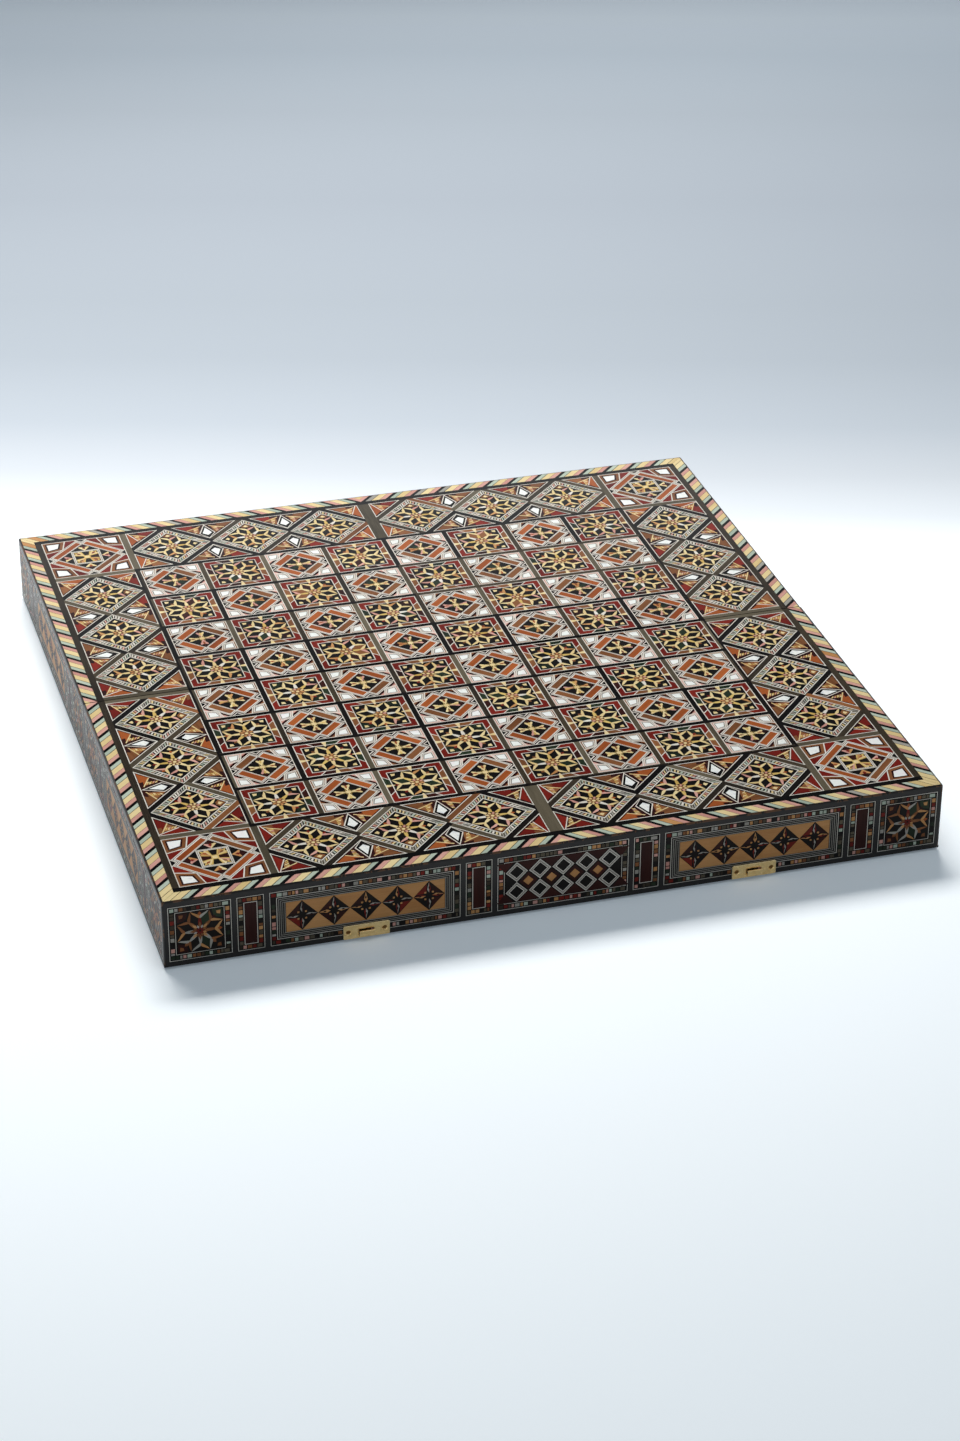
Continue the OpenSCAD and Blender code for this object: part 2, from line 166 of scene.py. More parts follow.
# Each wood: darkest and lightest colour of its grain, roughness, and how much its pores show (else 1)
woods = {
    "ebony": {"dark": (6, 5, 4), "light": (22, 17, 14), "rough": 0.36, "pores": 0.3},
    "wenge": {"dark": (27, 22, 18), "light": (70, 61, 47), "rough": 0.38},
    "greyWalnut": {"dark": (49, 43, 34), "light": (101, 93, 76), "rough": 0.4},
    "rosewood": {"dark": (22, 8, 7), "light": (58, 22, 16), "rough": 0.34},
    "redwood": {"dark": (74, 13, 9), "light": (128, 36, 25), "rough": 0.34},
    "padauk": {"dark": (106, 45, 18), "light": (169, 92, 45), "rough": 0.36},
    "walnut": {"dark": (83, 49, 27), "light": (142, 92, 56), "rough": 0.38},
    "boxwood": {"dark": (165, 129, 58), "light": (209, 183, 112), "rough": 0.38, "pores": 0.3},
    "maple": {"dark": (190, 162, 107), "light": (222, 206, 159), "rough": 0.38, "pores": 0.3},
    "beech": {"dark": (155, 106, 61), "light": (193, 146, 95), "rough": 0.38, "pores": 0.5},
    "bone": {"dark": (185, 179, 167), "light": (221, 217, 208), "rough": 0.32, "pores": 0},
    "greyBone": {"dark": (119, 117, 110), "light": (169, 166, 157), "rough": 0.34, "pores": 0},
    "pinkWood": {"dark": (167, 113, 103), "light": (207, 162, 149), "rough": 0.38, "pores": 0.5},
    "greenWood": {"dark": (133, 148, 133), "light": (184, 194, 178), "rough": 0.38, "pores": 0.3},
    "darkGreen": {"dark": (16, 25, 16), "light": (43, 56, 38), "rough": 0.36},
}
woodOrder = sorted(woods) + ["pearl"]
# Noise scales are per millimetre, along and across the fibres
grainLook = {"fine": (0.07, 1.6), "fineShare": 0.75, "broad": (0.02, 0.16), "broadShare": 0.7, "darker": 0.22,
             "pore": (0.35, 5.5), "poreEdge": 0.66, "poreShare": 0.45, "poreDark": 0.55,
             "roughSpread": 0.16, "smoother": 0.06, "bump": 0.18, "bumpDeep": 0.0002}
# Specular level and coat weight: on the chess face, on the side panels and the field, and on solid wood
lacquer = {"face": (0.0, 0.66), "side": (0.06, 0.05), "solid": (0.22, 0.08), "coatRough": 0.1}
made = {}


def startMaterial(name):
    material = bpy.data.materials.new(name)
    material.use_nodes = True
    return material, material.node_tree, material.node_tree.nodes["Principled BSDF"]


def fibres(tree, coordinates, scale, detail, **more):
    # Noise drawn out along the first axis of the coordinates, which are in millimetres
    if coordinates == "slip":
        place = addNode(tree, "ShaderNodeUVMap", {"uv_map": "grain"})
    else:
        turn = (0, 0, -math.pi / 2 if coordinates == "y" else 0)
        place = addNode(tree, "ShaderNodeMapping", {}, {
            "Vector": objectPlace(tree), "Rotation": turn, "Scale": (1 / mm, 1 / mm, 1 / mm)})
    along, across = scale
    place = addNode(tree, "ShaderNodeMapping", {}, {"Vector": place, "Scale": (along, across, across)})
    return noise(tree, place, 1.0, detail, **more)


def woodMaterial(name, coordinates, finish="solid"):
    # Coordinates are "slip" for a slip's own grain, or the axis that the grain of solid wood follows
    key = "_".join((name, coordinates, finish))
    if key in made:
        return made[key]
    look = woods[name]
    material, tree, shader = startMaterial(key)
    fine = fibres(tree, coordinates, grainLook["fine"], 5, Roughness=0.62)
    broad = fibres(tree, coordinates, grainLook["broad"], 2, Distortion=0.6)
    pore = fibres(tree, coordinates, grainLook["pore"], 1)
    tone = fine * grainLook["fineShare"] + broad * grainLook["broadShare"] - grainLook["darker"]
    if coordinates == "slip":
        tone = tone + storedValue(tree, "tone") + storedValue(tree, "tileTone")
    clear = addNode(tree, "ShaderNodeClamp", {}, {"Value": tone})
    colour = mixed(tree, clear, paint(look["dark"]), paint(look["light"]))
    holes = (pore > grainLook["poreEdge"]) * (grainLook["poreShare"] * look.get("pores", 1))
    specular, coat = lacquer[finish]
    plug(tree, shader.inputs, {
        "Base Color": mixed(tree, holes, colour, paint([grainLook["poreDark"] * v for v in look["dark"]])),
        "Roughness": fine * grainLook["roughSpread"] + look["rough"] - grainLook["smoother"],
        "Normal": dents(tree, grainLook["bump"], grainLook["bumpDeep"], fine - holes),
        "Specular IOR Level": specular, "Coat Weight": coat, "Coat Roughness": lacquer["coatRough"]})
    made[key] = material
    return material


# Shell: two layers of noise along and across it, its tones, and a sheen over them
pearl = {"swirl": (0.22, 0.5), "slipShare": 0.6, "layers": (0.6, 2.6),
         "sheen": (240, 240, 236), "sheenShare": 0.3, "rough": 0.14, "roughSpread": 0.2,
         "coat": 0.3, "coatRough": 0.1, "bump": 0.12, "bumpDeep": 0.0002,
         "tones": [(0.2, (188, 196, 204)), (0.4, (226, 224, 218)), (0.52, (220, 230, 226)),
                   (0.64, (228, 218, 220)), (0.82, (200, 214, 212))]}


def pearlMaterial():
    if "pearl" in made:
        return made["pearl"]
    material, tree, shader = startMaterial("pearl")
    swirl = fibres(tree, "slip", pearl["swirl"], 3, Distortion=1.6)
    layers = fibres(tree, "slip", pearl["layers"], 3)
    stops = [(place, paint(tone)) for place, tone in pearl["tones"]]
    tone = swirl + storedValue(tree, "tone") * pearl["slipShare"]
    colour = addNode(tree, "ShaderNodeValToRGB", {"stops": stops}, {"Fac": tone})
    plug(tree, shader.inputs, {
        "Base Color": mixed(tree, layers * pearl["sheenShare"], colour, paint(pearl["sheen"])),
        "Roughness": layers * pearl["roughSpread"] + pearl["rough"],
        "Normal": dents(tree, pearl["bump"], pearl["bumpDeep"], swirl + layers),
        "Coat Weight": pearl["coat"], "Coat Roughness": pearl["coatRough"]})
    made["pearl"] = material
    return material


def slipMaterial(name, finish="face"):
    return pearlMaterial() if name == "pearl" else woodMaterial(name, "slip", finish)


# Dark and light tones of the metal, its dull spots, its lowest roughness and its rubbed edges, whose colour
# is partly real rubbing and partly a painted highlight.
# Noise scales are per metre
brass = {"bright": {"tones": ((190, 152, 92), (244, 216, 158)), "spots": (146, 110, 62), "rough": 0.08,
                    "edge": (255, 238, 196)},
         # Darker brass for the screws and rivets: partly real tarnish and partly painted shade of their
         # countersinks
         "tarnishedAndShaded": {"tones": ((84, 60, 32), (150, 114, 66)), "spots": (48, 36, 22), "rough": 0.2,
                  "edge": (190, 150, 96)},
         "brushed": (300, 4000, 4000), "brushedRough": 0.22, "dull": 260.0, "dullRough": 0.16,
         "spotEdge": 0.62, "spotShare": 0.4, "rubbedGlintShare": 0.8, "bump": 0.1, "bumpDeep": 0.0001}


def brassMaterial(kind):
    if kind in made:
        return made[kind]
    look = brass[kind]
    material, tree, shader = startMaterial(kind + "Brass")
    place = objectPlace(tree)
    lines = addNode(tree, "ShaderNodeMapping", {}, {"Vector": place, "Scale": brass["brushed"]})
    brushed = noise(tree, lines, 1.0, 4)
    dull = noise(tree, place, brass["dull"], 4)
    colour = mixed(tree, dull, *(paint(tone) for tone in look["tones"]))
    spots = (dull > brass["spotEdge"]) * brass["spotShare"]
    colour = mixed(tree, spots, colour, paint(look["spots"]))
    # Partly painted highlight: the rounded edges take the light edge colour, as rubbed brass and as a glint
    worn = storedValue(tree, "worn") * brass["rubbedGlintShare"]
    plug(tree, shader.inputs, {
        "Base Color": mixed(tree, worn, colour, paint(look["edge"])),
        "Roughness": brushed * brass["brushedRough"] + dull * brass["dullRough"] + look["rough"],
        "Normal": dents(tree, brass["bump"], brass["bumpDeep"], brushed), "Metallic": 1})
    made[kind] = material
    return material


# Outlines are drawn in the plane, in millimetres
def polar(radius, degrees):
    # Counted from straight up, turning right
    a = math.radians(degrees)
    return (radius * math.sin(a), radius * math.cos(a))


def turned(points, degrees):
    c, s = math.cos(math.radians(degrees)), math.sin(math.radians(degrees))
    return [(x * c + y * s, y * c - x * s) for x, y in points]


def moved(points, dx, dy):
    return [(x + dx, y + dy) for x, y in points]


def mirrored(side, points):
    # Turned over to the left where side is -1
    return [(side * x, y) for x, y in points]


def rect(x0, y0, x1, y1):
    return [(x0, y0), (x1, y0), (x1, y1), (x0, y1)]


def square(half):
    return rect(-half, -half, half, half)


def lozenge(low, wide, middle, high):
    return [(0, low), (wide, middle), (0, high), (-wide, middle)]


def ringOf(count, *radii):
    # Corners at even angles from straight up, at each radius in turn
    return [polar(radii[n % len(radii)], 360 / count * n) for n in range(count)]


def rhombus(rx, ry):
    return [(rx, 0), (0, ry), (-rx, 0), (0, -ry)]


def kite(r0, r1, spread, r2):
    return [polar(r0, 0), polar(r1, spread), polar(r2, 0), polar(r1, -spread)]


def strip(a, b, width):
    dx, dy = b[0] - a[0], b[1] - a[1]
    size = math.hypot(dx, dy)
    nx, ny = -dy / size * width / 2, dx / size * width / 2
    return [(a[0] - nx, a[1] - ny), (b[0] - nx, b[1] - ny), (b[0] + nx, b[1] + ny), (a[0] + nx, a[1] + ny)]


def area(points):
    return sum(a[0] * b[1] - b[0] * a[1] for a, b in zip(points, points[1:] + points[:1])) / 2


def around(shapes, wood, points, angles, grain=0):
    # The grain turns with each copy
    for angle in angles:
        shapes.append((wood, turned(points, angle), grain - angle))


quarters = (0, 90, 180, 270)
diagonals = (45, 135, 225, 315)


def inlayMesh(name, shapes, depth, seed, spread=0.2):
    # Shapes are (wood, outline, grain angle); a later one lies over those before it, and None cuts a hole
    dice = random.Random(seed)
    points, rings, slips = [], [], []
    for wood, outline, grain in shapes:
        ring = list(outline) if area(list(outline)) > 0 else list(outline)[::-1]
        rings.append(list(range(len(points), len(points) + len(ring))))
        points += [Vector(p) for p in ring]
        slips.append((dice.uniform(-spread, spread), dice.uniform(-300, 300), dice.uniform(-300, 300)))
    flat, _, cells, _, _, origins = delaunay_2d_cdt(points, [], rings, 1, 1e-4)
    top, owners = [], []
    for cell, origin in zip(cells, origins):
        owner = max(origin) if 0 in origin else -1
        if owner >= 0 and shapes[owner][0] is not None:
            top.append(list(cell))
            owners.append(owner)
    used = sorted({v for cell in top for v in cell})
    place = {v: n for n, v in enumerate(used)}
    count = len(used)
    top = [[place[v] for v in cell] for cell in top]
    spots = [flat[v] for v in used]
    edges = {(a, b) for cell in top for a, b in zip(cell, cell[1:] + cell[:1])}
    rim = [(a, b) for a, b in sorted(edges) if (b, a) not in edges]
    sides = [[a, a + count, b + count, b] for a, b in rim]
    follows = dict(rim)
    loop = [rim[0][0]]
    while follows[loop[-1]] != loop[0] and len(loop) <= len(rim):
        loop.append(follows[loop[-1]])
    if len(loop) == len(rim) and len(follows) == len(rim):
        bottom = [[v + count for v in reversed(loop)]]
    else:
        bottom = [[v + count for v in reversed(cell)] for cell in top]
    mesh = bpy.data.meshes.new(name)
    corners = [(x * mm, y * mm, 0) for x, y in spots] + [(x * mm, y * mm, -depth * mm) for x, y in spots]
    mesh.from_pydata(corners, [], top + sides + bottom)
    grain = mesh.uv_layers.new(name="grain")
    tone = mesh.attributes.new("tone", "FLOAT", "FACE")
    wood = mesh.attributes.new("wood", "INT", "FACE")
    for n, polygon in enumerate(mesh.polygons):
        owner = owners[n] if n < len(top) else 0
        toneHere, du, dv = slips[owner]
        angle = math.radians(shapes[owner][2])
        c, s = math.cos(angle), math.sin(angle)
        for corner in polygon.loop_indices:
            x, y, z = (v / mm for v in mesh.vertices[mesh.loops[corner].vertex_index].co)
            y += z if n >= len(top) else 0
            grain.data[corner].uv = (x * c + y * s + du, y * c - x * s + dv)
        tone.data[n].value = toneHere
        wood.data[n].value = woodOrder.index(shapes[owner][0])
    return mesh


def variants(name, draw, count, depth, seed):
    # The same motif drawn again with other dice, so that neighbours differ
    return [inlayMesh("%s%d" % (name, n), draw(seed + n), depth, seed + n) for n in range(count)]


def dressed(mesh, finish="face"):
    # Gives a mesh its slips' materials, one slot for each wood that it has
    numbers = [v.value for v in mesh.attributes["wood"].data]
    kinds = sorted(set(numbers))
    mesh.materials.clear()
    for number in kinds:
        mesh.materials.append(slipMaterial(woodOrder[number], finish))
    mesh.polygons.foreach_set("material_index", [kinds.index(v) for v in numbers])
    mesh.update()
    return mesh


def keepPiece(piece, body, slot, node):
    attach(piece, body)
    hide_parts(node)


def addPiece(name, mesh, body, slot, node):
    piece = bpy.data.objects.new(name, mesh)
    scene.collection.objects.link(piece)
    keepPiece(piece, body, slot, node)


def startTree(name, inputs):
    # Every tree takes its points and its tiles, and then these inputs
    tree = bpy.data.node_groups.new(name, "GeometryNodeTree")
    inputs = {"Geometry": ("Geometry", None), "Tiles": ("Collection", None), **inputs}
    for word, (kind, value) in inputs.items():
        socket = tree.interface.new_socket(word, in_out="INPUT", socket_type="NodeSocket" + kind)
        if value is not None:
            socket.default_value = value
    tree.interface.new_socket("Geometry", in_out="OUTPUT", socket_type="NodeSocketGeometry")
    inlet, outlet = tree.nodes.new("NodeGroupInput"), tree.nodes.new("NodeGroupOutput")

    def given(word):
        return Wire(tree, findSocket(inlet.outputs, word))
    return tree, given, outlet


def readPoint(tree, name, kind):
    return addNode(tree, "GeometryNodeInputNamedAttribute", {"data_type": kind}, {"Name": name}, "Attribute")


def turnOf(tree, angles):
    return addNode(tree, "FunctionNodeEulerToRotation", {}, {"Euler": angles})


def tilesOf(tree, given):
    return addNode(tree, "GeometryNodeCollectionInfo", {}, {
        "Collection": given("Tiles"), "Separate Children": True, "Reset Children": True})


def layTiles(tree, given, outlet, points, turn, kind):
    # Tiles on points, each a little darker or lighter, then one mesh with its woods set
    laid = addNode(tree, "GeometryNodeInstanceOnPoints", {}, {
        "Points": points, "Instance": tilesOf(tree, given), "Pick Instance": True, "Instance Index": kind,
        "Rotation": turn})
    tone = addNode(tree, "FunctionNodeRandomValue", {"data_type": "FLOAT"}, {
        "Min": given("Tone spread") * -1, "Max": given("Tone spread"), "Seed": given("Seed")})
    laid = addNode(tree, "GeometryNodeStoreNamedAttribute", {"data_type": "FLOAT", "domain": "INSTANCE"}, {
        "Geometry": laid, "Name": "tileTone", "Value": tone})
    shape = addNode(tree, "GeometryNodeRealizeInstances", {}, {"Geometry": laid})
    wood = readPoint(tree, "wood", "INT")
    for number, name in enumerate(woodOrder):
        here = addNode(tree, "FunctionNodeCompare", {"data_type": "INT", "operation": "EQUAL"}, {
            "A": wood, "B": number})
        shape = addNode(tree, "GeometryNodeSetMaterial", {}, {
            "Geometry": shape, "Selection": here, "Material": slipMaterial(name)})
    plug(tree, outlet.inputs, {0: shape})
    return tree


def buildPlaceTree():
    # Tiles on the carrier's own points, which hold each tile's turn and kind
    tree, given, outlet = startTree("tilesOnPlaces", {"Tone spread": ("Float", 0.1), "Seed": ("Int", 1)})
    turn = turnOf(tree, readPoint(tree, "turn", "FLOAT_VECTOR"))
    return layTiles(tree, given, outlet, given("Geometry"), turn, readPoint(tree, "kind", "INT"))


def buildChequerTree():
    # Every second place of a grid, as the squares of one colour lie
    tree, given, outlet = startTree("tilesOnChequer", {
        "Columns": ("Int", 8), "Rows": ("Int", 4), "Parity": ("Int", 0), "Pitch": ("Float", 0.04),
        "Middle": ("Vector", (0, 0, 0)), "Last variant": ("Int", 0), "Tone spread": ("Float", 0.1),
        "Seed": ("Int", 1)})
    grid = addNode(tree, "GeometryNodeMeshGrid", {}, {
        "Size X": (given("Columns") - 1) * given("Pitch"), "Size Y": (given("Rows") - 1) * given("Pitch"),
        "Vertices X": given("Columns"), "Vertices Y": given("Rows")}, "Mesh")
    number = addNode(tree, "GeometryNodeInputIndex")
    column = addNode(tree, "ShaderNodeMath", {"operation": "FLOOR"}, {0: number / given("Rows")})
    row = number - column * given("Rows")
    odd = addNode(tree, "ShaderNodeMath", {"operation": "FLOORED_MODULO"}, {
        0: column + row + given("Parity"), 1: 2.0})
    grid = addNode(tree, "GeometryNodeDeleteGeometry", {"domain": "POINT"}, {
        "Geometry": grid, "Selection": odd > 0.5})
    grid = addNode(tree, "GeometryNodeSetPosition", {}, {"Geometry": grid, "Offset": given("Middle")})
    step = addNode(tree, "FunctionNodeRandomValue", {"data_type": "INT"}, {
        "Min": 0, "Max": 3, "Seed": given("Seed")})
    turn = turnOf(tree, addNode(tree, "ShaderNodeCombineXYZ", {}, {"Z": step * (math.pi / 2)}))
    kind = addNode(tree, "FunctionNodeRandomValue", {"data_type": "INT"}, {
        "Min": 0, "Max": given("Last variant"), "Seed": given("Seed") + 7})
    return layTiles(tree, given, outlet, grid, turn, kind)


placeTree = buildPlaceTree()
chequerTree = buildChequerTree()


def runTree(name, tree, carrier, tiles, inputs):
    # Evaluates the tree once and keeps its result as a plain mesh
    holder = bpy.data.collections.new(name + "Tiles")
    parts = [bpy.data.objects.new("%s%02d" % (name, number), mesh) for number, mesh in enumerate(tiles)]
    for part in parts:
        holder.objects.link(part)
    piece = bpy.data.objects.new(name, carrier)
    scene.collection.objects.link(piece)
    modifier = piece.modifiers.new("lay", "NODES")
    modifier.node_group = tree
    inputs = {**inputs, "Tiles": holder}
    for item in tree.interface.items_tree:
        if item.in_out == "INPUT" and item.name in inputs:
            modifier[item.identifier] = inputs[item.name]
    graph = bpy.context.evaluated_depsgraph_get()
    laid = piece.evaluated_get(graph)
    mesh = bpy.data.meshes.new_from_object(laid, preserve_all_data_layers=True, depsgraph=graph)
    mesh.name = name
    piece.modifiers.remove(modifier)
    piece.data = mesh
    for part in parts:
        bpy.data.objects.remove(part)
    bpy.data.collections.remove(holder)
    return piece


def carrierOf(places):
    # Places are (kind, point in millimetres, turn)
    mesh = bpy.data.meshes.new("places")
    mesh.from_pydata([Vector(point) * mm for _, point, _ in places], [], [])
    turns = mesh.attributes.new("turn", "FLOAT_VECTOR", "POINT")
    turns.data.foreach_set("vector", [v for _, _, turn in places for v in turn])
    mesh.attributes.new("kind", "INT", "POINT").data.foreach_set("value", [kind for kind, _, _ in places])
    return mesh


def layOnPlaces(name, tiles, places, seed, finish, *kept):
    piece = runTree(name, placeTree, carrierOf(places), tiles, {"Tone spread": 0.08, "Seed": seed})
    dressed(piece.data, finish)
    keepPiece(piece, *kept)


print("node trees built")


# The same sizes as the construction has, in millimetres
face = {"top": 47.8, "depth": 1.2, "seam": 0.4, "half": 248.7, "ground": 240.5, "frame": 236, "border": 180,
        "pitch": 44.5625, "square": 41.0625, "strip": 3.5, "middle": 8.6, "band": 4.5, "cells": 3,
        "bar": 4, "starGap": 0.55, "columns": 8, "rows": 4}
cell = (face["border"] - face["band"] - face["middle"] / 2) / face["cells"]
borderWidth = face["frame"] - face["border"]
borderMiddle = (face["border"] + face["frame"]) / 2
otherHalf = (0, 2, 1)   # what a whole, a left half or a right half triangle becomes when it is mirrored


def innerRhombus(back):
    # Half width and half height of a rhombus lying back from the one that fills a border cell
    slant = math.hypot(cell, borderWidth)
    return cell / 2 - back * slant / borderWidth, borderWidth / 2 - back * slant / cell


# A wood named more than once comes up more often
brightStar = {"lines": ("maple", "maple"), "arms": ["maple", "beech", "maple", "maple", "pinkWood"],
              "darks": ["ebony"] * 16 + ["darkGreen", "rosewood", "walnut"],
              "gems": ["maple", "maple", "boxwood", "bone"], "heart": ("walnut", "maple"),
              "notch": 12.4, "tip": 21.4}
diamondStar = {**brightStar, "tip": 20.4}
dimStar = {"lines": ("beech", "walnut"), "arms": ["beech", "greyBone", "walnut"],
           "darks": ["ebony", "ebony", "ebony", "rosewood", "darkGreen"],
           "gems": ["walnut", "greyBone", "redwood"], "heart": ("rosewood", "redwood"),
           "notch": 12.0, "tip": 21.2}
starHalf = 15.6   # half width of the field that the star below is drawn for


def drawStar(shapes, turn, size, dice, look):
    # Eight dark kites on a light ground, for a square field whose corners lie at 45 degrees from turn.
    # The arms of a light V run from between two kites to their outer tips, in each of eight directions
    lines, darks, heart, tip = look["lines"], look["darks"], look["heart"], look["tip"]
    k = size / starHalf

    def lay(wood, points, angle, grain=0):
        around(shapes, wood, [(x * k, y * k) for x, y in points], [angle], grain)
    for step in range(8):
        a = turn + 45 * step
        if step % 2:
            lay(dice.choice(darks), lozenge(13.2, tip - 16.4, 16.4, tip), a, 90)
            lay(dice.choice(lines), lozenge(tip - 5.0, 1.9, tip - 3.9, tip - 1.6), a, 90)
        for side, wood in ((-1, lines[step % 2]), (1, dice.choice(look["arms"]))):
            lay(wood, mirrored(side, [(0, 8.6), (1.6, 8.8), (6.2, 15.2), (0, look["notch"])]), a, side * 45)
        warm = dice.choice(["padauk", "rosewood", "walnut", "redwood", "ebony"])
        lay(warm, lozenge(11.4, 1.3, 13.2, 14.8), a, 90)
    for step in range(8):
        gem = [polar(3.6, 20), polar(9.9, 6), polar(9.9, -6), polar(3.6, -20)]
        lay(dice.choice(look["gems"]), gem, turn + 45 * step, 90)
    for step in range(8):
        lay(dice.choice(darks), kite(4.7, 9.7, 18.8, 15.2), turn + 22.5 + 45 * step, 90)
    around(shapes, heart[0], ringOf(16, 4.3 * k, 5.0 * k), [turn])
    for step in range(8):
        a = turn + 45 * step
        lay("ebony", kite(3.0, 4.0, 8, 5.0), a)
        lay(dice.choice(look["arms"]), kite(1.9, 3.4, 16, 4.8), a + 22.5)
    around(shapes, heart[0], ringOf(16, 1.4 * k, 2.1 * k), [turn])
    around(shapes, heart[1], ringOf(8, 1.2 * k), [turn])


# Bars and shell corners, measured from the middle of the tile and from its corner
lightSquareLook = {"line": 0.6, "barPlace": 12.6, "barLength": 17.4, "barWidth": 4.9,
                   "outside": 1.8, "inside": 1.0, "bars": ["padauk", "padauk", "padauk", "walnut"],
                   "pearl": (1.9, 7.9, 6.5), "divider": (10.4, 0.9), "rings": ("bone", "greyWalnut")}
cornerLook = {"line": 0.6, "barPlace": 17.5, "barLength": 28.2, "barWidth": 4.0,
              "outside": 1.9, "inside": 1.1, "bars": ["padauk", "padauk", "walnut", "padauk"],
              "pearl": (2.7, 11.4, 9.4), "divider": (15.9, 0.8), "rings": ("rosewood", "rosewood")}


def linedSquare(half, line, wood, grain=0):
    return [("bone", square(half), 0), (wood, square(half - line), grain)]


def framedBars(shapes, look, dice):
    # Bars of wood in frames of a white, a dark and a white line, wider on the outer side, round a dark core
    p, length, width = look["barPlace"], look["barLength"] / 2, look["barWidth"] / 2
    for angle in diagonals:
        for name, part in (("bone", 1.0), ("rosewood", 0.66), ("bone", 0.46), (dice.choice(look["bars"]), 0)):
            out, inside = look["outside"] * part, look["inside"] * part
            outline = rect(-length - out, p - width - inside, length + out, p + width + out)
            around(shapes, name, outline, [angle])
    core = (p - width - look["inside"]) * math.sqrt(2)
    shapes.append(("ebony", rhombus(core, core), 0))
    return core


def pearlCorners(shapes, look, half, dice):
    # A piece of shell in each corner, in a dark frame, with a light line between it and the rest
    near, far, deep = look["pearl"]
    place, width = look["divider"]
    knee = place * 0.79

    def corner(a, b):
        return (half - a, half - b)
    for angle in quarters:
        for wood, grow in ((look["rings"][0], 1.4), (look["rings"][1], 0.6), ("pearl", 0)):
            n, f, d = near - grow * 0.8, far + grow, deep + grow * 0.8
            around(shapes, wood, [corner(n, n), corner(f, n), corner(d, d), corner(n, f)], [angle],
                   dice.uniform(0, 180) if wood == "pearl" else 0)
        for end in (corner(place, 0), corner(0, place)):
            around(shapes, "bone", strip(end, corner(knee, knee), width), [angle])


def sideNotches(shapes, edge, wide, tip):
    # A dark wedge with a white line round it, in from the middle of each side
    for angle in quarters:
        around(shapes, "bone", [(edge, wide), (edge, -wide), (tip, 0)], [angle])
        around(shapes, "ebony", [(edge, wide - 1), (edge, 1 - wide), (tip + 1, 0)], [angle])


def tulip(shapes, angle, dice, low, wide, high, heart):
    # Two light arms from one root, with a small warm piece between them
    rise = high - low
    for side in (-1, 1):
        arm = [(0, low), (wide, high - rise * 0.1), (wide * 0.8, high + rise * 0.04), (0, high - rise * 0.16)]
        wood = dice.choice(["maple", "maple", "maple", "pinkWood", "beech"])
        around(shapes, wood, mirrored(side, arm), [angle], side * 45)
    bit = lozenge(high - rise * 0.62, wide * 0.34, high - rise * 0.28, high)
    around(shapes, dice.choice(heart), bit, [angle], 90)


def drawLightSquare(seed):
    dice = random.Random(seed)
    look = lightSquareLook
    half = face["square"] / 2
    i = half - look["line"]
    shapes = linedSquare(half, look["line"], "rosewood", 20)
    for angle in quarters:
        wood = dice.choice(["walnut", "pinkWood"])
        around(shapes, wood, [(6.4, i), (i, i), (i, 6.4), (13.4, 13.4)], [angle])
    pearlCorners(shapes, look, i, dice)
    sideNotches(shapes, i, 3.6, 16.2)
    core = framedBars(shapes, look, dice)
    for angle in quarters:
        around(shapes, "rosewood", lozenge(8.6, 1.9, 9.8, core - 0.6), [angle], 90)
        tulip(shapes, angle, dice, 1.2, 2.8, 8.6, ["padauk", "walnut", "boxwood"])
    for angle in diagonals:
        around(shapes, "boxwood", kite(1.6, 5.4, 30, 7.4), [angle], 90)
        around(shapes, dice.choice(["ebony"] * 8 + ["darkGreen"]), kite(2.1, 5.6, 31, 8.8), [angle], 90)
    shapes.append(("maple", [polar(1.9, 45 * n + 22.5) for n in range(8)], 0))
    return shapes


darkSquareLook = {"line": 0.6, "frame": 16.2, "field": 15.6,
                  "sides": [("walnut", "walnut"), ("rosewood", "darkGreen"), ("walnut", "rosewood"),
                            ("walnut", "walnut")]}


def drawDarkSquare(seed):
    dice = random.Random(seed)
    look = darkSquareLook
    half = face["square"] / 2
    i = half - look["line"]
    shapes = linedSquare(half, look["line"], "redwood")
    around(shapes, "redwood", [(11.4, i), (i, i), (i, 11.4), (16, 7), (16, 16), (7, 16)], quarters)
    for angle in quarters:
        pair = dice.choice(look["sides"])
        for side in (-1, 1):
            around(shapes, pair[side > 0], mirrored(side, [(0, 16), (7.2, 16), (11.2, i), (0, i)]), [angle])
            line = strip((side * 7.2, 15.9), (side * 11.3, i + 0.1), 0.6)
            around(shapes, "bone", line, [angle])
        around(shapes, "maple", [(-1.6, i), (1.6, i), (0.8, 16.3), (-0.8, 16.3)], [angle], 90)
    shapes += [("bone", square(look["frame"]), 0), ("ebony", square(look["field"]), 0)]
    drawStar(shapes, 0, look["field"], dice, brightStar)
    around(shapes, "maple", [(-1.0, 15.7), (1.0, 15.7), (0, 13.8)], quarters, 90)
    return shapes


# Lines and fields lie back from the diamond's edge; a pair of chips is one dark and one pale
diamondLook = {"line": 0.6, "chipsOut": 1.0, "chipsIn": 3.5, "chips": 15, "darkShare": (0.36, 0.54),
               "lean": 0.3, "whiteLine": 3.8, "field": 4.5, "star": 15.3,
               "pale": ["bone", "bone", "greyBone", "pinkWood", "greenWood", "maple"],
               "darks": ["ebony", "wenge", "greyWalnut", "walnut", "ebony"]}


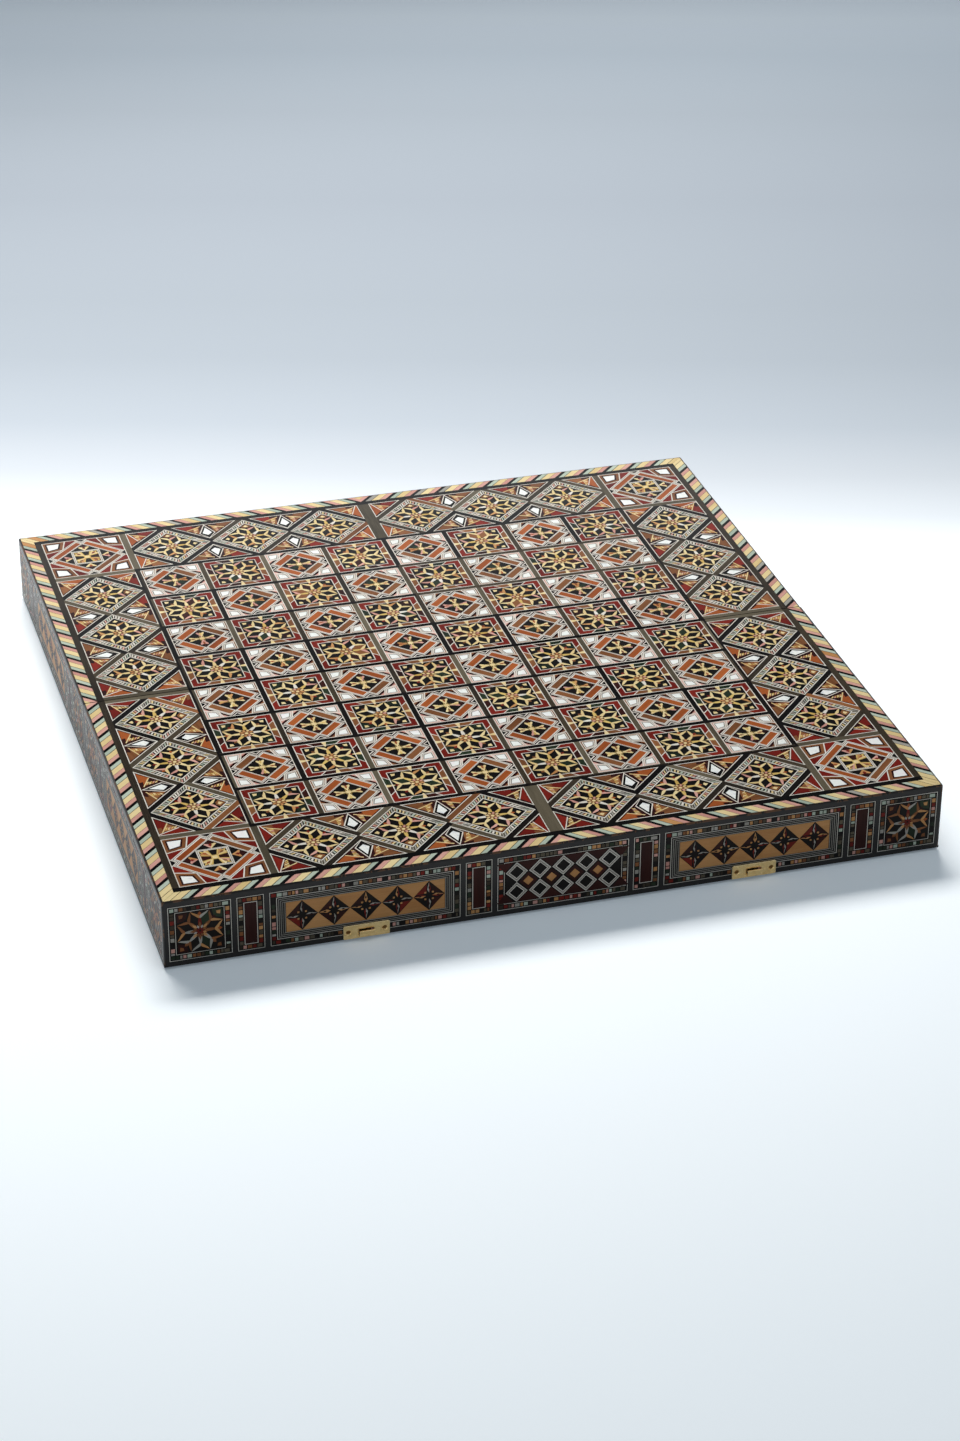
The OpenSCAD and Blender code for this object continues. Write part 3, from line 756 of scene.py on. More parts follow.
def drawDiamond(seed):
    dice = random.Random(seed)
    look = diamondLook
    dx, dy = innerRhombus(face["starGap"])
    deep = dx * dy / math.hypot(dx, dy)

    def ring(back):
        return rhombus(dx * (1 - back / deep), dy * (1 - back / deep))
    shapes = [("bone", ring(0), 0), ("greyWalnut", ring(look["line"]), 0)]
    outside, inside, count, lean = ring(look["chipsOut"]), ring(look["chipsIn"]), look["chips"], look["lean"]
    for side in range(4):
        def spot(along, across):
            f = min(along, count) / count
            outer, inner = ([ends[side][i] + (ends[(side + 1) % 4][i] - ends[side][i]) * f for i in (0, 1)]
                            for ends in (outside, inside))
            return [outer[i] + (inner[i] - outer[i]) * across for i in (0, 1)]
        for n in range(count):
            dark = dice.uniform(*look["darkShare"])
            for woodList, a, b in ((look["darks"], n, n + dark), (look["pale"], n + dark, n + 1)):
                chip = [spot(a, 0), spot(b, 0), spot(b + lean, 1), spot(a + lean, 1)]
                shapes.append((dice.choice(woodList), chip, 0))
    shapes += [("bone", ring(look["whiteLine"]), 0), ("ebony", ring(look["field"]), 0)]
    drawStar(shapes, 45, look["star"], dice, diamondStar)
    return shapes


def drawTriangle(kind, seed):
    # Foot on the border's edge, apex at the crossing of the bars.
    # Kind 0 is whole, 1 the left half, 2 the right half
    dice = random.Random(seed)
    line = 0.6
    dx, dy = innerRhombus(face["bar"] - face["starGap"])
    slant = math.hypot(dx, dy)
    apex, foot = dy - line * slant / dx, dx - line * (slant + dx) / dy
    cut = (0, -line, line)[kind]
    left, right = cut if kind == 2 else -foot, cut if kind == 1 else foot
    shapes = [("bone", [(0 if kind == 2 else -dx, 0), (0 if kind == 1 else dx, 0), (0, dy)], 0),
              ("rosewood", [(left, line), (right, line), (cut, apex - abs(cut) * dy / dx)], 0)]
    for side in ((-1, 1), (-1,), (1,))[kind]:
        def put(woodList, points, grain=0):
            shapes.append((dice.choice(woodList), mirrored(side, points), side * grain))
        put(["walnut", "redwood", "walnut", "padauk"], [(2.0, 1.0), (20.4, 1.0), (13.4, 8.2), (3.4, 3.4)], 10)
        put(["rosewood", "walnut"], [(2.0, 1.0), (8.6, 1.0), (9.4, 3.6), (3.4, 3.4)], 80)
        put(["padauk", "walnut", "rosewood"], [(4.4, 4.0), (12.8, 8.0), (6.2, 14.6), (5.2, 13.0)], -45)
        for n in range(4):
            x, y, w = 4.7 + n * 0.55, 4.7 + n * 2.0, 3.6 - n * 0.5
            leaf = [(x, y), (x + w, y + 0.9), (x + 0.9, y + 1.8)]
            shapes.append(("maple" if n % 2 else "beech", mirrored(side, leaf), side * 30))
            bud = [(x + w, y + 0.9), (x + w + 0.6, y + 2.7), (x + 1.3, y + 1.6)]
            put(["pinkWood", "boxwood", "maple"], bud, 70)
        shapes.append(("maple", mirrored(side, strip((3.2, 3.0), (13.6, 8.0), 0.8)), 0))
        if kind:
            put(["redwood", "padauk"], [(0.8, 1.0), (2.2, 1.0), (6.4, 13.4), (0.8, 20.0)], 90)
            shapes.append(("bone", mirrored(side, strip((1.5, 0.6), (6.9, 14.0), 0.7)), 0))
    if kind == 0:
        shapes += [("bone", lozenge(0.6, 5.9, 14.5, dy - 0.6), 0),
                   ("ebony", lozenge(2.2, 5.1, 14.6, dy - 1.2), 0),
                   ("pearl", lozenge(5.6, 3.4, 14.2, 17.4), dice.uniform(0, 180))]
    return shapes


def drawCornerPanel(seed):
    dice = random.Random(seed)
    look = cornerLook
    half = borderWidth / 2
    i = half - look["line"]
    shapes = linedSquare(half, look["line"], "rosewood")
    for angle in quarters:
        around(shapes, "redwood", [(3.2, i), (11.8, i), (14.4, 16.4), (8.6, 20.6)], [angle])
        around(shapes, "redwood", [(i, 3.2), (i, 11.8), (16.4, 14.4), (20.6, 8.6)], [angle])
        around(shapes, "walnut", [(11.6, i), (i, i), (i, 11.6), (15.4, 15.4)], [angle])
    pearlCorners(shapes, look, i, dice)
    sideNotches(shapes, i, 4.6, 23.2)
    core = framedBars(shapes, look, dice)
    for angle in quarters:
        around(shapes, "rosewood", lozenge(core - 0.5, 3.6, core - 4.1, 15.0), [angle], 90)
        tulip(shapes, angle, dice, 10.2, 4.0, 15.8, ["padauk", "redwood"])
    for wood, half in (("bone", 10.2), ("ebony", 9.5), ("bone", 9.2), ("boxwood", 8.5)):
        shapes.append((wood, square(half), 0))
    for angle in quarters:
        dark = dice.choice(["ebony", "ebony", "rosewood"])
        around(shapes, dark, [(1.4, 2.4), (2.9, 8.4), (-2.9, 8.4), (-1.4, 2.4)], [angle], 90)
        for side in (-1, 1):
            around(shapes, "ebony", mirrored(side, [(3.4, 8.5), (8.5, 8.5), (4.4, 6.6)]), [angle])
    for angle in diagonals:
        tulip(shapes, angle, dice, 2.2, 3.0, 9.6, ["padauk", "walnut", "redwood"])
    shapes.append(("maple", square(1.6), 45))
    return shapes


def mirrorFor(body, shapes):
    # Drawn for the rear tray; the front one is its mirror image in y
    if body == "rear":
        return shapes
    return [(wood, [(x, -y) for x, y in outline], -grain) for wood, outline, grain in shapes]


# Stripes are (wood, start in the period, width); a few of them come up in a second wood
ropeLook = {"period": 18.5, "mitre": 4.2, "inset": 4.3,
            "stripes": [("greenWood", 3.3, 4.0), ("maple", 7.9, 6.0), ("pinkWood", 14.2, 4.3)],
            "others": {"maple": "beech", "greenWood": "greyBone"}, "otherShare": 0.1}


def drawRope(seed):
    dice = random.Random(seed)
    look = ropeLook
    inner, outer, seam = face["ground"], face["half"], face["seam"]
    wide, inset = outer - inner, look["inset"]
    outline = [(-outer, seam), (-inner, seam), (-inner, inner), (inner, inner), (inner, seam), (outer, seam),
               (outer, outer), (-outer, outer)]
    shapes = [("ebony", outline, 0)]
    stripes = []
    start = 0
    while start < inner - 6:
        for wood, offset, width in look["stripes"]:
            first, last = start + offset, min(start + offset + width, inner - look["mitre"] - 0.5)
            if last - first > 0.4:
                stripes.append((wood, first, last))
        start += look["period"]
    stripes.append(("maple", inner - look["mitre"], inner - 0.1))
    for flip in (1, -1):
        for wood, first, last in stripes:
            name = look["others"].get(wood, wood) if dice.random() < look["otherShare"] else wood
            across = [(first, inner), (last, inner), (last + wide, outer), (first + wide, outer)]
            along = [(y, max(x, seam)) for x, y in across]
            shapes += [(name, mirrored(flip, way), 45 * flip) for way in (across, along)]
        for wood, back in (("pinkWood", 0), ("maple", inset)):
            end = [(inner + back, seam), (outer, seam), (outer, wide - back)]
            shapes.append((wood, mirrored(flip, end), 45))
    for wood, back in (("pinkWood", 0), ("maple", inset)):
        shapes.append((wood, [(0, inner + back), (wide - back, outer), (back - wide, outer)], 0))
    return shapes


def cellPlaces():
    # Middle of each border cell, and the turn that brings the border's outer edge to the bottom of a tile
    places = []
    for n in range(face["cells"]):
        s = face["middle"] / 2 + (n + 0.5) * cell
        places += [(s, borderMiddle, 0), (-s, borderMiddle, 0), (borderMiddle, s, 90), (-borderMiddle, s, 90)]
    return places


def trianglePlaces():
    # (kind, foot, degrees from upright), with the kinds of drawTriangle
    low, high, last = face["border"], face["frame"], face["cells"]
    places = []
    for n in range(last + 1):
        s = face["middle"] / 2 + n * cell
        for side in (1, -1):
            # On the run along x
            kind = 0 if 0 < n < last else 2 if (n == 0) == (side > 0) else 1
            places += [(kind, (side * s, low), 0), (otherHalf[kind], (side * s, high), 180)]
            # On the run along y, where the foot lies on a line of constant x
            end = 0 if 0 < n < last else 1 if n == 0 else 2
            inward, outward = (end, otherHalf[end])[::side]
            places += [(inward, (side * low, s), 90 * side), (outward, (side * high, s), -90 * side)]
    return places


def drawGround(seed):
    dice = random.Random(seed)
    inner, frameLine, border, seam = face["ground"], face["frame"], face["border"], face["seam"]
    pitch, strap, middle, band = face["pitch"], face["strip"] / 2, face["middle"] / 2, face["band"]
    shapes = []

    def put(wood, outline, grain=0):
        shapes.append((wood, outline, grain))

    def putBoth(wood, outline, grain=0):
        for side in (-1, 1):
            put(wood, mirrored(side, outline), grain)
    put("ebony", rect(-inner, seam, inner, inner))
    put("ebony", rect(-inner, frameLine, 0, inner))
    put("ebony", rect(0, frameLine, inner, inner))
    putBoth("ebony", rect(frameLine, seam, inner, frameLine), 90)
    # Straight strips between the squares
    for row in range(face["rows"] + 1):
        y = row * pitch
        put("ebony", rect(-border, max(y - strap, seam), 0, y + strap))
        put(dice.choice(["ebony", "ebony", "wenge"]), rect(0, max(y - strap, seam), border, y + strap))
    for column in range(face["columns"] + 1):
        x = (column - face["columns"] // 2) * pitch
        for row in range(face["rows"]):
            put(dice.choice(["wenge", "greyWalnut", "ebony"]),
                rect(x - strap, row * pitch + strap, x + strap, (row + 1) * pitch - strap), 90)
    # Bars beside the star diamonds
    dx, dy = cell / 2, borderWidth / 2
    slant = math.hypot(dx, dy)
    off = face["bar"] / 2 - face["starGap"]
    for x, y, turn in cellPlaces():
        for sx, sy in ((1, 1), (1, -1), (-1, 1), (-1, -1)):
            bar = strip((sx * dx, 0), (0, sy * dy), face["bar"])
            bar = moved(bar, sx * off * dy / slant, sy * off * dx / slant)
            wood = dice.choice(["ebony"] * 7 + ["wenge"] * 5 + ["greyWalnut", "walnut"])
            angle = math.degrees(math.atan2(-sx * sy * dy, dx))
            put(wood, moved(turned(bar, turn), x, y), angle - turn)
    put("ebony", rect(-border - band, border - strap, border + band, border))
    put("ebony", rect(-inner, frameLine, inner, inner))
    for side in (-1, 1):
        for wood, near, far in (("ebony", border - strap, border), ("wenge", frameLine, inner)):
            put(wood, mirrored(side, rect(near, seam, far, frameLine)), 90)
    # Wider strips at the middle of each border and beside the corner panels
    put("greyWalnut", rect(-middle, border, middle, frameLine), 90)
    for side in (-1, 1):
        for outline, grainTurn in ((rect(border, seam, frameLine, middle), 0),
                                   (rect(border - band, border, border, frameLine), 90),
                                   (rect(border, border - band, frameLine, border), 0)):
            put("greyWalnut", mirrored(side, outline), grainTurn)
    # Holes for the tiles
    half = face["square"] / 2
    for column in range(face["columns"]):
        for row in range(face["rows"]):
            x, y = (column - (face["columns"] - 1) / 2) * pitch, (row + 0.5) * pitch
            put(None, rect(x - half, y - half, x + half, y + half))
    star = rhombus(*innerRhombus(face["starGap"]))
    for x, y, turn in cellPlaces():
        put(None, moved(turned(star, turn), x, y))
    tx, ty = innerRhombus(face["bar"] - face["starGap"])
    outlines = ([(-tx, 0), (tx, 0), (0, ty)], [(-tx, 0), (0, 0), (0, ty)], [(0, 0), (tx, 0), (0, ty)])
    for kind, (x, y), turn in trianglePlaces():
        put(None, moved(turned(outlines[kind], turn), x, y))
    putBoth(None, rect(border, border, frameLine, frameLine))
    return shapes


def makeFace(body, sign, seed):
    top, depth, tray = face["top"], face["depth"], body + "_tray"
    for word, draw, extra, spread, slot, node in (
            ("Ground", drawGround, 1, 0.3, "ebonised_wood", "_black_ground"),
            ("Rope", drawRope, 2, 0.2, "striped_edging", "_rope_edging")):
        mesh = inlayMesh(body + word, mirrorFor(body, draw(seed)), depth, seed + extra, spread)
        mesh.transform(Matrix.Translation((0, 0, top * mm)))
        addPiece(body + word, dressed(mesh), tray, slot, body + node)
    empty = bpy.data.meshes.new("empty")
    middle = (0, sign * face["rows"] / 2 * face["pitch"] * mm, top * mm)
    for word, draw, extra, parity in (("light", drawLightSquare, 0, 1), ("dark", drawDarkSquare, 10, 0)):
        tiles = variants(word + "Tile", draw, 3, depth, seed + extra)
        piece = runTree(body + word.title() + "Squares", chequerTree, empty, tiles, {
            "Columns": face["columns"], "Rows": face["rows"], "Pitch": face["pitch"] * mm, "Middle": middle,
            "Parity": parity, "Last variant": len(tiles) - 1, "Tone spread": 0.1, "Seed": seed + 1 - parity})
        dressed(piece.data)
        keepPiece(piece, tray, word + "_marquetry", "%s_%s_squares" % (body, word))

    def lay(word, tiles, places, slot, node):
        # Places are (kind, x, y, turn) on the rear tray; the front one's are mirrored
        places = [(kind, (x, sign * y, top), (0, 0, turn)) for kind, x, y, turn in places]
        layOnPlaces(body + word, tiles, places, seed, "face", tray, slot, body + node)
    stars = [(0, x, y, math.radians(-turn * sign)) for x, y, turn in cellPlaces()]
    tile = inlayMesh("starTile", drawDiamond(seed + 5), depth, seed + 5)
    lay("StarDiamonds", [tile], stars, "star_marquetry", "_star_diamonds")
    tiles = [inlayMesh("triangleTile%d" % kind, drawTriangle(kind, seed + 6 + kind), depth, seed + 6 + kind)
             for kind in range(3)]
    places = trianglePlaces()
    if body == "front":
        places = [(otherHalf[kind], foot, 180 - turn) for kind, foot, turn in places]
    places = [(kind, x, y, math.radians(-turn)) for kind, (x, y), turn in places]
    lay("Triangles", tiles, places, "triangle_marquetry", "_border_triangles")
    tile = inlayMesh("cornerTile", drawCornerPanel(seed + 9), depth, seed + 9)
    corners = [(0, side * borderMiddle, borderMiddle, 0 if side > 0 else math.pi / 2) for side in (-1, 1)]
    lay("CornerPanels", [tile], corners, "corner_marquetry", "_corner_panels")


makeFace("front", -1, 100)
makeFace("rear", 1, 200)
print("chess face laid")


# The side walls' panels: their sizes, the chips of their bands, and where they stand along a wall
sides = {"out": 250, "middle": 24.4, "tall": 38, "deep": 1.3, "line": 0.34,
         "chipOut": 1.1, "chipIn": 3.4, "chipGap": 0.6, "chipLong": (1.9, 3.6), "chipLeast": 1.4,
         "star": 38.5, "slim": 16.6, "long": 118.8, "longEnd": 118.4, "centre": 84,
         "starAt": 227.25, "starNear": 23.15, "slimAt": (53.8, 196.2), "slimNear": 54.2, "longAt": 125,
         "longEndAt": 125.2}
chipWoods = ["greyBone", "greenWood", "beech", "redwood", "walnut", "greyWalnut", "ebony", "ebony",
             "darkGreen", "greyWalnut", "wenge", "pinkWood"]


def chipRow(length, dice):
    at, found = 0, []
    while at < length - 0.5:
        step = dice.uniform(*sides["chipLong"])
        step = length - at if length - at - step < sides["chipLeast"] else step
        found.append((at, at + step - sides["chipGap"]))
        at += step
    return found


def bandedPanel(width, rings, dice):
    # Nested lines, and between the first two a band of short chips
    w, h = width / 2, sides["tall"] / 2
    near, far, gap = sides["chipOut"], sides["chipIn"], sides["chipGap"]

    def ring(inset):
        return rect(inset - w, inset - h, w - inset, h - inset)
    shapes = [("bone", ring(0), 0), ("ebony", ring(sides["line"]), 0)]
    for side in (-1, 1):
        for a, b in chipRow(2 * (w - near), dice):
            outline = [(x, side * y) for x, y in rect(near - w + a, h - far, near - w + b, h - near)]
            shapes.append((dice.choice(chipWoods), outline, 0))
        for a, b in chipRow(2 * (h - far - gap), dice):
            outline = mirrored(side, rect(w - far, far + gap - h + a, w - near, far + gap - h + b))
            shapes.append((dice.choice(chipWoods), outline, 90))
    return shapes + [(wood, ring(inset), 90) for inset, wood in rings]


def drawStarPanel(seed):
    dice = random.Random(seed)
    shapes = bandedPanel(sides["star"], [(4.1, "bone"), (4.4, "ebony")], dice)
    drawStar(shapes, 0, 14.4, dice, dimStar)
    for step in range(8):
        around(shapes, "beech" if step % 2 else "walnut", kite(2.2, 4.4, 12, 6.6), [45 * step], 90)
    return shapes + [("redwood", ringOf(16, 3.4, 1.5), 0), ("ebony", ringOf(8, 0.7), 0)]


def drawSlimPanel(seed):
    return bandedPanel(sides["slim"], [(4.1, "bone"), (4.5, "rosewood")], random.Random(seed))


longLook = {"diamonds": 5, "end": 9.8, "ends": 19.8, "half": 10.5,
            "rings": [(4.1, "bone"), (4.45, "ebony"), (5.4, "greyBone"), (5.72, "ebony"), (6.6, "greyBone"),
                      (6.92, "ebony"), (7.8, "greyBone"), (8.1, "ebony")],
            "darks": ["ebony", "ebony", "ebony", "rosewood", "redwood"],
            "arms": ((-1, ["beech", "greyBone"]), (1, ["redwood", "rosewood", "beech"]))}


def drawLongPanel(width, seed):
    # A row of diamonds on a light ground, each with four dark leaves and light arms between them
    dice = random.Random(seed)
    look = longLook
    count, h = look["diamonds"], look["half"]
    shapes = bandedPanel(width, look["rings"], dice)
    w, pitch = width / 2 - look["end"], (width - look["ends"]) / count
    shapes += [("greyBone", rect(-w - 0.7, -11, w + 0.7, 11), 90),
               ("ebony", rect(-w - 0.35, -h - 0.25, w + 0.35, h + 0.25), 90)]
    middles = [(n - (count - 1) / 2) * pitch for n in range(count)]
    for x in middles:
        shapes += [("beech", rect(x - pitch / 2, min(0, side * h), x + pitch / 2, max(0, side * h)), 0)
                   for side in (-1, 1)]
    for n in range(count - 1):
        x = (n - count / 2 + 1) * pitch
        shapes += [("beech", [(x - pitch / 2, side * h), (x, 0), (x + pitch / 2, side * h)], 0)
                   for side in (-1, 1)]
    for x in middles:
        shapes.append(("ebony", moved(rhombus(pitch / 2, h), x, 0), 0))
        for step in range(4):
            def put(wood, points, grainTurn):
                shapes.append((wood, moved(turned(points, 90 * step), x, 0), grainTurn))
            put(dice.choice(look["darks"]), [polar(2.6, 45), polar(8.4, 10), polar(8.4, 80)], 0)
            for side, woodList in look["arms"]:
                put(dice.choice(woodList), [polar(2.1, 0), polar(4.6, 15 * side), polar(9.6, 0)], 90)
            put("ebony", kite(4.6, 5.6, 6, 7.0), 90)
            put("beech", [polar(2.5, 45), polar(3.4, 30), polar(4.2, 45), polar(3.4, 60)], 45)
        shapes.append(("ebony", moved(square(1.9), x, 0), 0))
    return shapes


centreLook = {"diamonds": 5, "pitch": 14.9, "foot": 14.2, "rise": 6.6, "row": 7.15,
              "nested": ((7.0, "bone"), (6.5, "greyBone"), (5.6, "wenge"), (5.2, "bone"), (4.5, "ebony"))}


def drawCentrePanel(seed):
    # Two rows of nested diamonds, with dark triangles and small diamonds between them
    dice = random.Random(seed)
    shapes = bandedPanel(sides["centre"], [(4.1, "bone"), (4.4, "ebony")], dice)
    pitch, count = centreLook["pitch"], centreLook["diamonds"]
    for n in range(count + 1):
        x = (n - count / 2) * pitch
        reach = pitch * (0.36 if n in (0, count) else 0.46)
        for side in (-1, 1):
            foot = side * centreLook["foot"]
            outline = [(x - reach, foot), (x + reach, foot), (x, foot - side * centreLook["rise"])]
            shapes.append(("rosewood", outline, 0))
        if 0 < n < count:
            shapes += [("rosewood", moved(rhombus(6.0, 6.2), x, 0), 45),
                       ("beech", moved(rhombus(3.3, 3.3), x, 0), 45)]
    for n in range(count):
        for side in (-1, 1):
            for size, wood in centreLook["nested"]:
                outline = moved(rhombus(size, size), (n - (count - 1) / 2) * pitch, side * centreLook["row"])
                shapes.append((wood, outline, 45))
    return shapes


def makeSides(body, sign, seed):
    out, z, deep, upright, ends = sides["out"], sides["middle"], sides["deep"], math.pi / 2, (-1, 1)

    def onLong(kind, x):
        return (kind, (x, sign * out, z), (upright, 0, 0 if sign < 0 else math.pi))

    def onEnd(kind, side, y):
        return (kind, (side * out, sign * y, z), (upright, 0, side * upright))

    def lay(word, tiles, places, number):
        layOnPlaces(body + word.title().replace("_", ""), tiles, places, seed + number, "side",
                    body + "_tray", word.rstrip("s") + "_marquetry", "%s_%s" % (body, word))
    near, far = sides["slimAt"]
    places = [onLong(0, side * sides["starAt"]) for side in ends]
    places += [onEnd(1, side, y) for side in ends for y in (sides["starNear"], sides["starAt"])]
    lay("star_panels", variants("starPanelTile", drawStarPanel, 2, deep, seed), places, 0)
    places = [onLong(n % 3, x) for n, x in enumerate((-far, -near, near, far))]
    places += [onEnd(n, side, y) for side in ends for n, y in enumerate((sides["slimNear"], far))]
    lay("slim_panels", variants("slimPanelTile", drawSlimPanel, 3, deep, seed + 4), places, 1)
    tiles = [inlayMesh("longPanelTile%d" % n, drawLongPanel(width, seed + 8 + n), deep, seed + 8 + n)
             for n, width in enumerate((sides["long"], sides["longEnd"]))]
    places = [onLong(0, side * sides["longAt"]) for side in ends]
    places += [onEnd(1, side, sides["longEndAt"]) for side in ends]
    lay("long_panels", tiles, places, 2)
    tile = inlayMesh("centrePanelTile", drawCentrePanel(seed + 12), deep, seed + 12)
    lay("centre_panel", [tile], [onLong(0, 0)], 3)


makeSides("front", -1, 300)
makeSides("rear", 1, 400)
print("side panels laid")


# The backgammon field, seen when the box lies the other way up
field = {"under": 40.6, "deep": 1.0, "x": 237.9, "y0": 11.2, "y1": 237.9, "base": 231.9, "first": 17.2,
         "pitch": 35.783, "foot": 32.783, "reach": 190, "count": 6, "bar": 8, "barLine": 9, "lean": 3,
         "lines": ((2.4, "boxwood"), (3.2, "walnut")), "gemWide": 7.4,
         "gem": (("boxwood", 12), ("rosewood", 10.6), ("walnut", 9.4), ("boxwood", 5), ("padauk", 3.6))}
pointLook = {"light": ("maple", "rosewood", "beech"), "dark": ("ebony", "boxwood", "redwood"),
             "line": (1.6, 2.4), "lean": 2, "gemAt": 40, "gems": ((4.6, 17), (3.9, 14.6))}


def pointPlaces(body, light):
    # (side, middle of the foot) of the light or the dark points
    parity = int(light == (body == "rear"))
    return [(side, field["first"] + (n + 0.5) * field["pitch"])
            for side in (0, 1) for n in range(field["count"]) if (n + side) % 2 == parity]


def drawField(body):
    x, y0, y1, bar = field["x"], field["y0"], field["y1"], field["bar"]
    middle, half, base = (y0 + y1) / 2, field["foot"] / 2, field["base"]
    shapes = [("walnut", rect(-x, y0, x, y1), 0)]
    # Two book-matched sheets, a bar of rosewood between them, and light lines round each half
    for side in (-1, 1):
        grainTurn = side * field["lean"]
        for low, high in ((y0, middle), (middle, y1)):
            shapes.append(("walnut", mirrored(side, rect(0, low, x, high)), grainTurn))
        for inset, wood in field["lines"]:
            outline = rect(field["barLine"] + inset, y0 + inset, x - inset, y1 - inset)
            shapes.append((wood, mirrored(side, outline), grainTurn))
    shapes.append(("rosewood", rect(-bar, y0, bar, y1), 90))
    for wood, size in field["gem"]:
        shapes.append((wood, moved(rhombus(min(size, field["gemWide"]), size), 0, middle), 90))
    for light in (True, False):
        for side, y in pointPlaces(body, light):
            outline = [(base, y - half), (base - field["reach"], y), (base, y + half)]
            shapes.append((None, mirrored(1 - 2 * side, outline), 0))
    return shapes


def drawPoint(word):
    # Two book-matched halves in a light or dark line, with a gem near the foot
    half, reach, lean = field["foot"] / 2, field["reach"], pointLook["lean"]
    main, line, core = pointLook[word]

    def inner(back):
        t = back * math.hypot(half, reach) / reach
        foot = half - t - back * half / reach
        return [(-foot, back), (foot, back), (0, reach - t * reach / half)]
    outer, (a, b, c) = pointLook["line"][0], inner(pointLook["line"][1])
    shapes = [(main, [(-half, 0), (half, 0), (0, reach)], 90), (line, inner(outer), 90),
              (main, [a, b, c], 90), (main, [a, (0, a[1]), c], 90 + lean),
              (main, [(0, a[1]), b, c], 90 - lean)]
    for wood, size in zip((line, core), pointLook["gems"]):
        shapes.append((wood, moved(rhombus(*size), 0, pointLook["gemAt"]), 90))
    return shapes


def makeField(body, sign, seed):
    tray, under, deep = body + "_tray", field["under"], field["deep"]
    # Seen from below, so the drawing is turned over
    shapes = [(wood, [(x, -sign * y) for x, y in outline], grain) for wood, outline, grain in drawField(body)]
    mesh = inlayMesh(body + "Field", shapes, deep, seed)
    mesh.transform(Matrix.Translation((0, 0, under * mm)) @ Matrix.Rotation(math.pi, 4, "X"))
    addPiece(body + "Field", dressed(mesh, "side"), tray, "field_veneer", body + "_field_veneer")
    for word in ("light", "dark"):
        tiles = [inlayMesh("point%s%d" % (word, n), drawPoint(word), deep, seed + n) for n in range(3)]
        places = [(n % 3, ((1 - 2 * side) * field["base"], sign * y, under),
                   (math.pi, 0, (side - 0.5) * math.pi))
                  for n, (side, y) in enumerate(pointPlaces(body, word == "light"))]
        layOnPlaces(body + word.title() + "Points", tiles, places, seed, "side", tray, word + "_point_veneer",
                    "%s_%s_points" % (body, word))


makeField("front", -1, 500)
makeField("rear", 1, 600)
print("backgammon field laid")

# Widths of the rounded edges, of solid wood and brass
rounding = {"sheets": 1.0, "rims": 0.35, "linings": 0.25, "hinge": 0.3, "brass": 0.16, "least": 50}


def softened(name, node, body, slotName, width, choose=None, segments=2):
    # A copy of a CAD node whose outer edges are rounded; the rounded faces are marked for wear, and on brass
    # for a painted edge highlight as well
    source = bpy.data.objects[node]
    mesh = source.data.copy()
    mesh.name = name
    mesh.transform(source.matrix_world)
    mesh.materials.clear()
    work = bmesh.new()
    work.from_mesh(mesh)
    bmesh.ops.remove_doubles(work, verts=work.verts, dist=1e-6)
    bmesh.ops.dissolve_limit(work, angle_limit=math.radians(1), verts=work.verts, edges=work.edges)
    sharp = [e for e in work.edges if len(e.link_faces) == 2 and e.is_convex
             and e.calc_face_angle() > math.radians(rounding["least"]) and (choose is None or choose(e))]
    worn = work.faces.layers.float.new("worn")
    done = bmesh.ops.bevel(work, geom=sharp, offset=width * mm, segments=segments, profile=0.5,
                           affect="EDGES", clamp_overlap=True)
    for rounded in done["faces"]:
        rounded[worn] = 1
    for wall in work.faces:
        # Only the faces square to an axis stay flat
        wall.smooth = max(abs(v) for v in wall.normal) < math.cos(math.radians(2))
    bmesh.ops.recalc_face_normals(work, faces=work.faces)
    work.to_mesh(mesh)
    work.free()
    addPiece(name, mesh, body, slotName, node)
    return mesh


rubbed = {"ebony": (104, 70, 44), "walnut": (190, 150, 104), "patches": 90.0, "start": 0.52, "rougher": 0.25}


def wear(wood, way):
    # Shows the wood under the lacquer, in patches, on the rounded edges
    material = woodMaterial(wood, way)
    tree, shader = material.node_tree, material.node_tree.nodes["Principled BSDF"]
    patch = noise(tree, objectPlace(tree), rubbed["patches"], 5, Roughness=0.7)
    amount = storedValue(tree, "worn") * (patch > rubbed["start"]) * patch
    colour, rough = (Wire(tree, shader.inputs[name].links[0].from_socket)
                     for name in ("Base Color", "Roughness"))
    plug(tree, shader.inputs, {"Base Color": mixed(tree, amount, colour, paint(rubbed[wood])),
                               "Roughness": rough + amount * rubbed["rougher"]})


for wood in ("ebony", "walnut"):
    for way in "xy":
        wear(wood, way)


def setGrain(mesh, wood, isEnd):
    # Grain along x on the long walls, along y on the end walls
    for way in "xy":
        mesh.materials.append(woodMaterial(wood, way))
    for polygon in mesh.polygons:
        polygon.material_index = int(isEnd(polygon.center / mm))


def outerArris(edge):
    # The edge round the top of the side sheets, and the upright edges at their corners
    top, side = face["top"] - 0.1, sides["out"] - 0.1
    a, b = (v.co / mm for v in edge.verts)
    farX, farY = min(abs(a.x), abs(b.x)) > side, min(abs(a.y), abs(b.y)) > side
    upright = abs(a.x - b.x) + abs(a.y - b.y) < 0.1
    return (farX or farY) and min(a.z, b.z) > top or farX and farY and upright


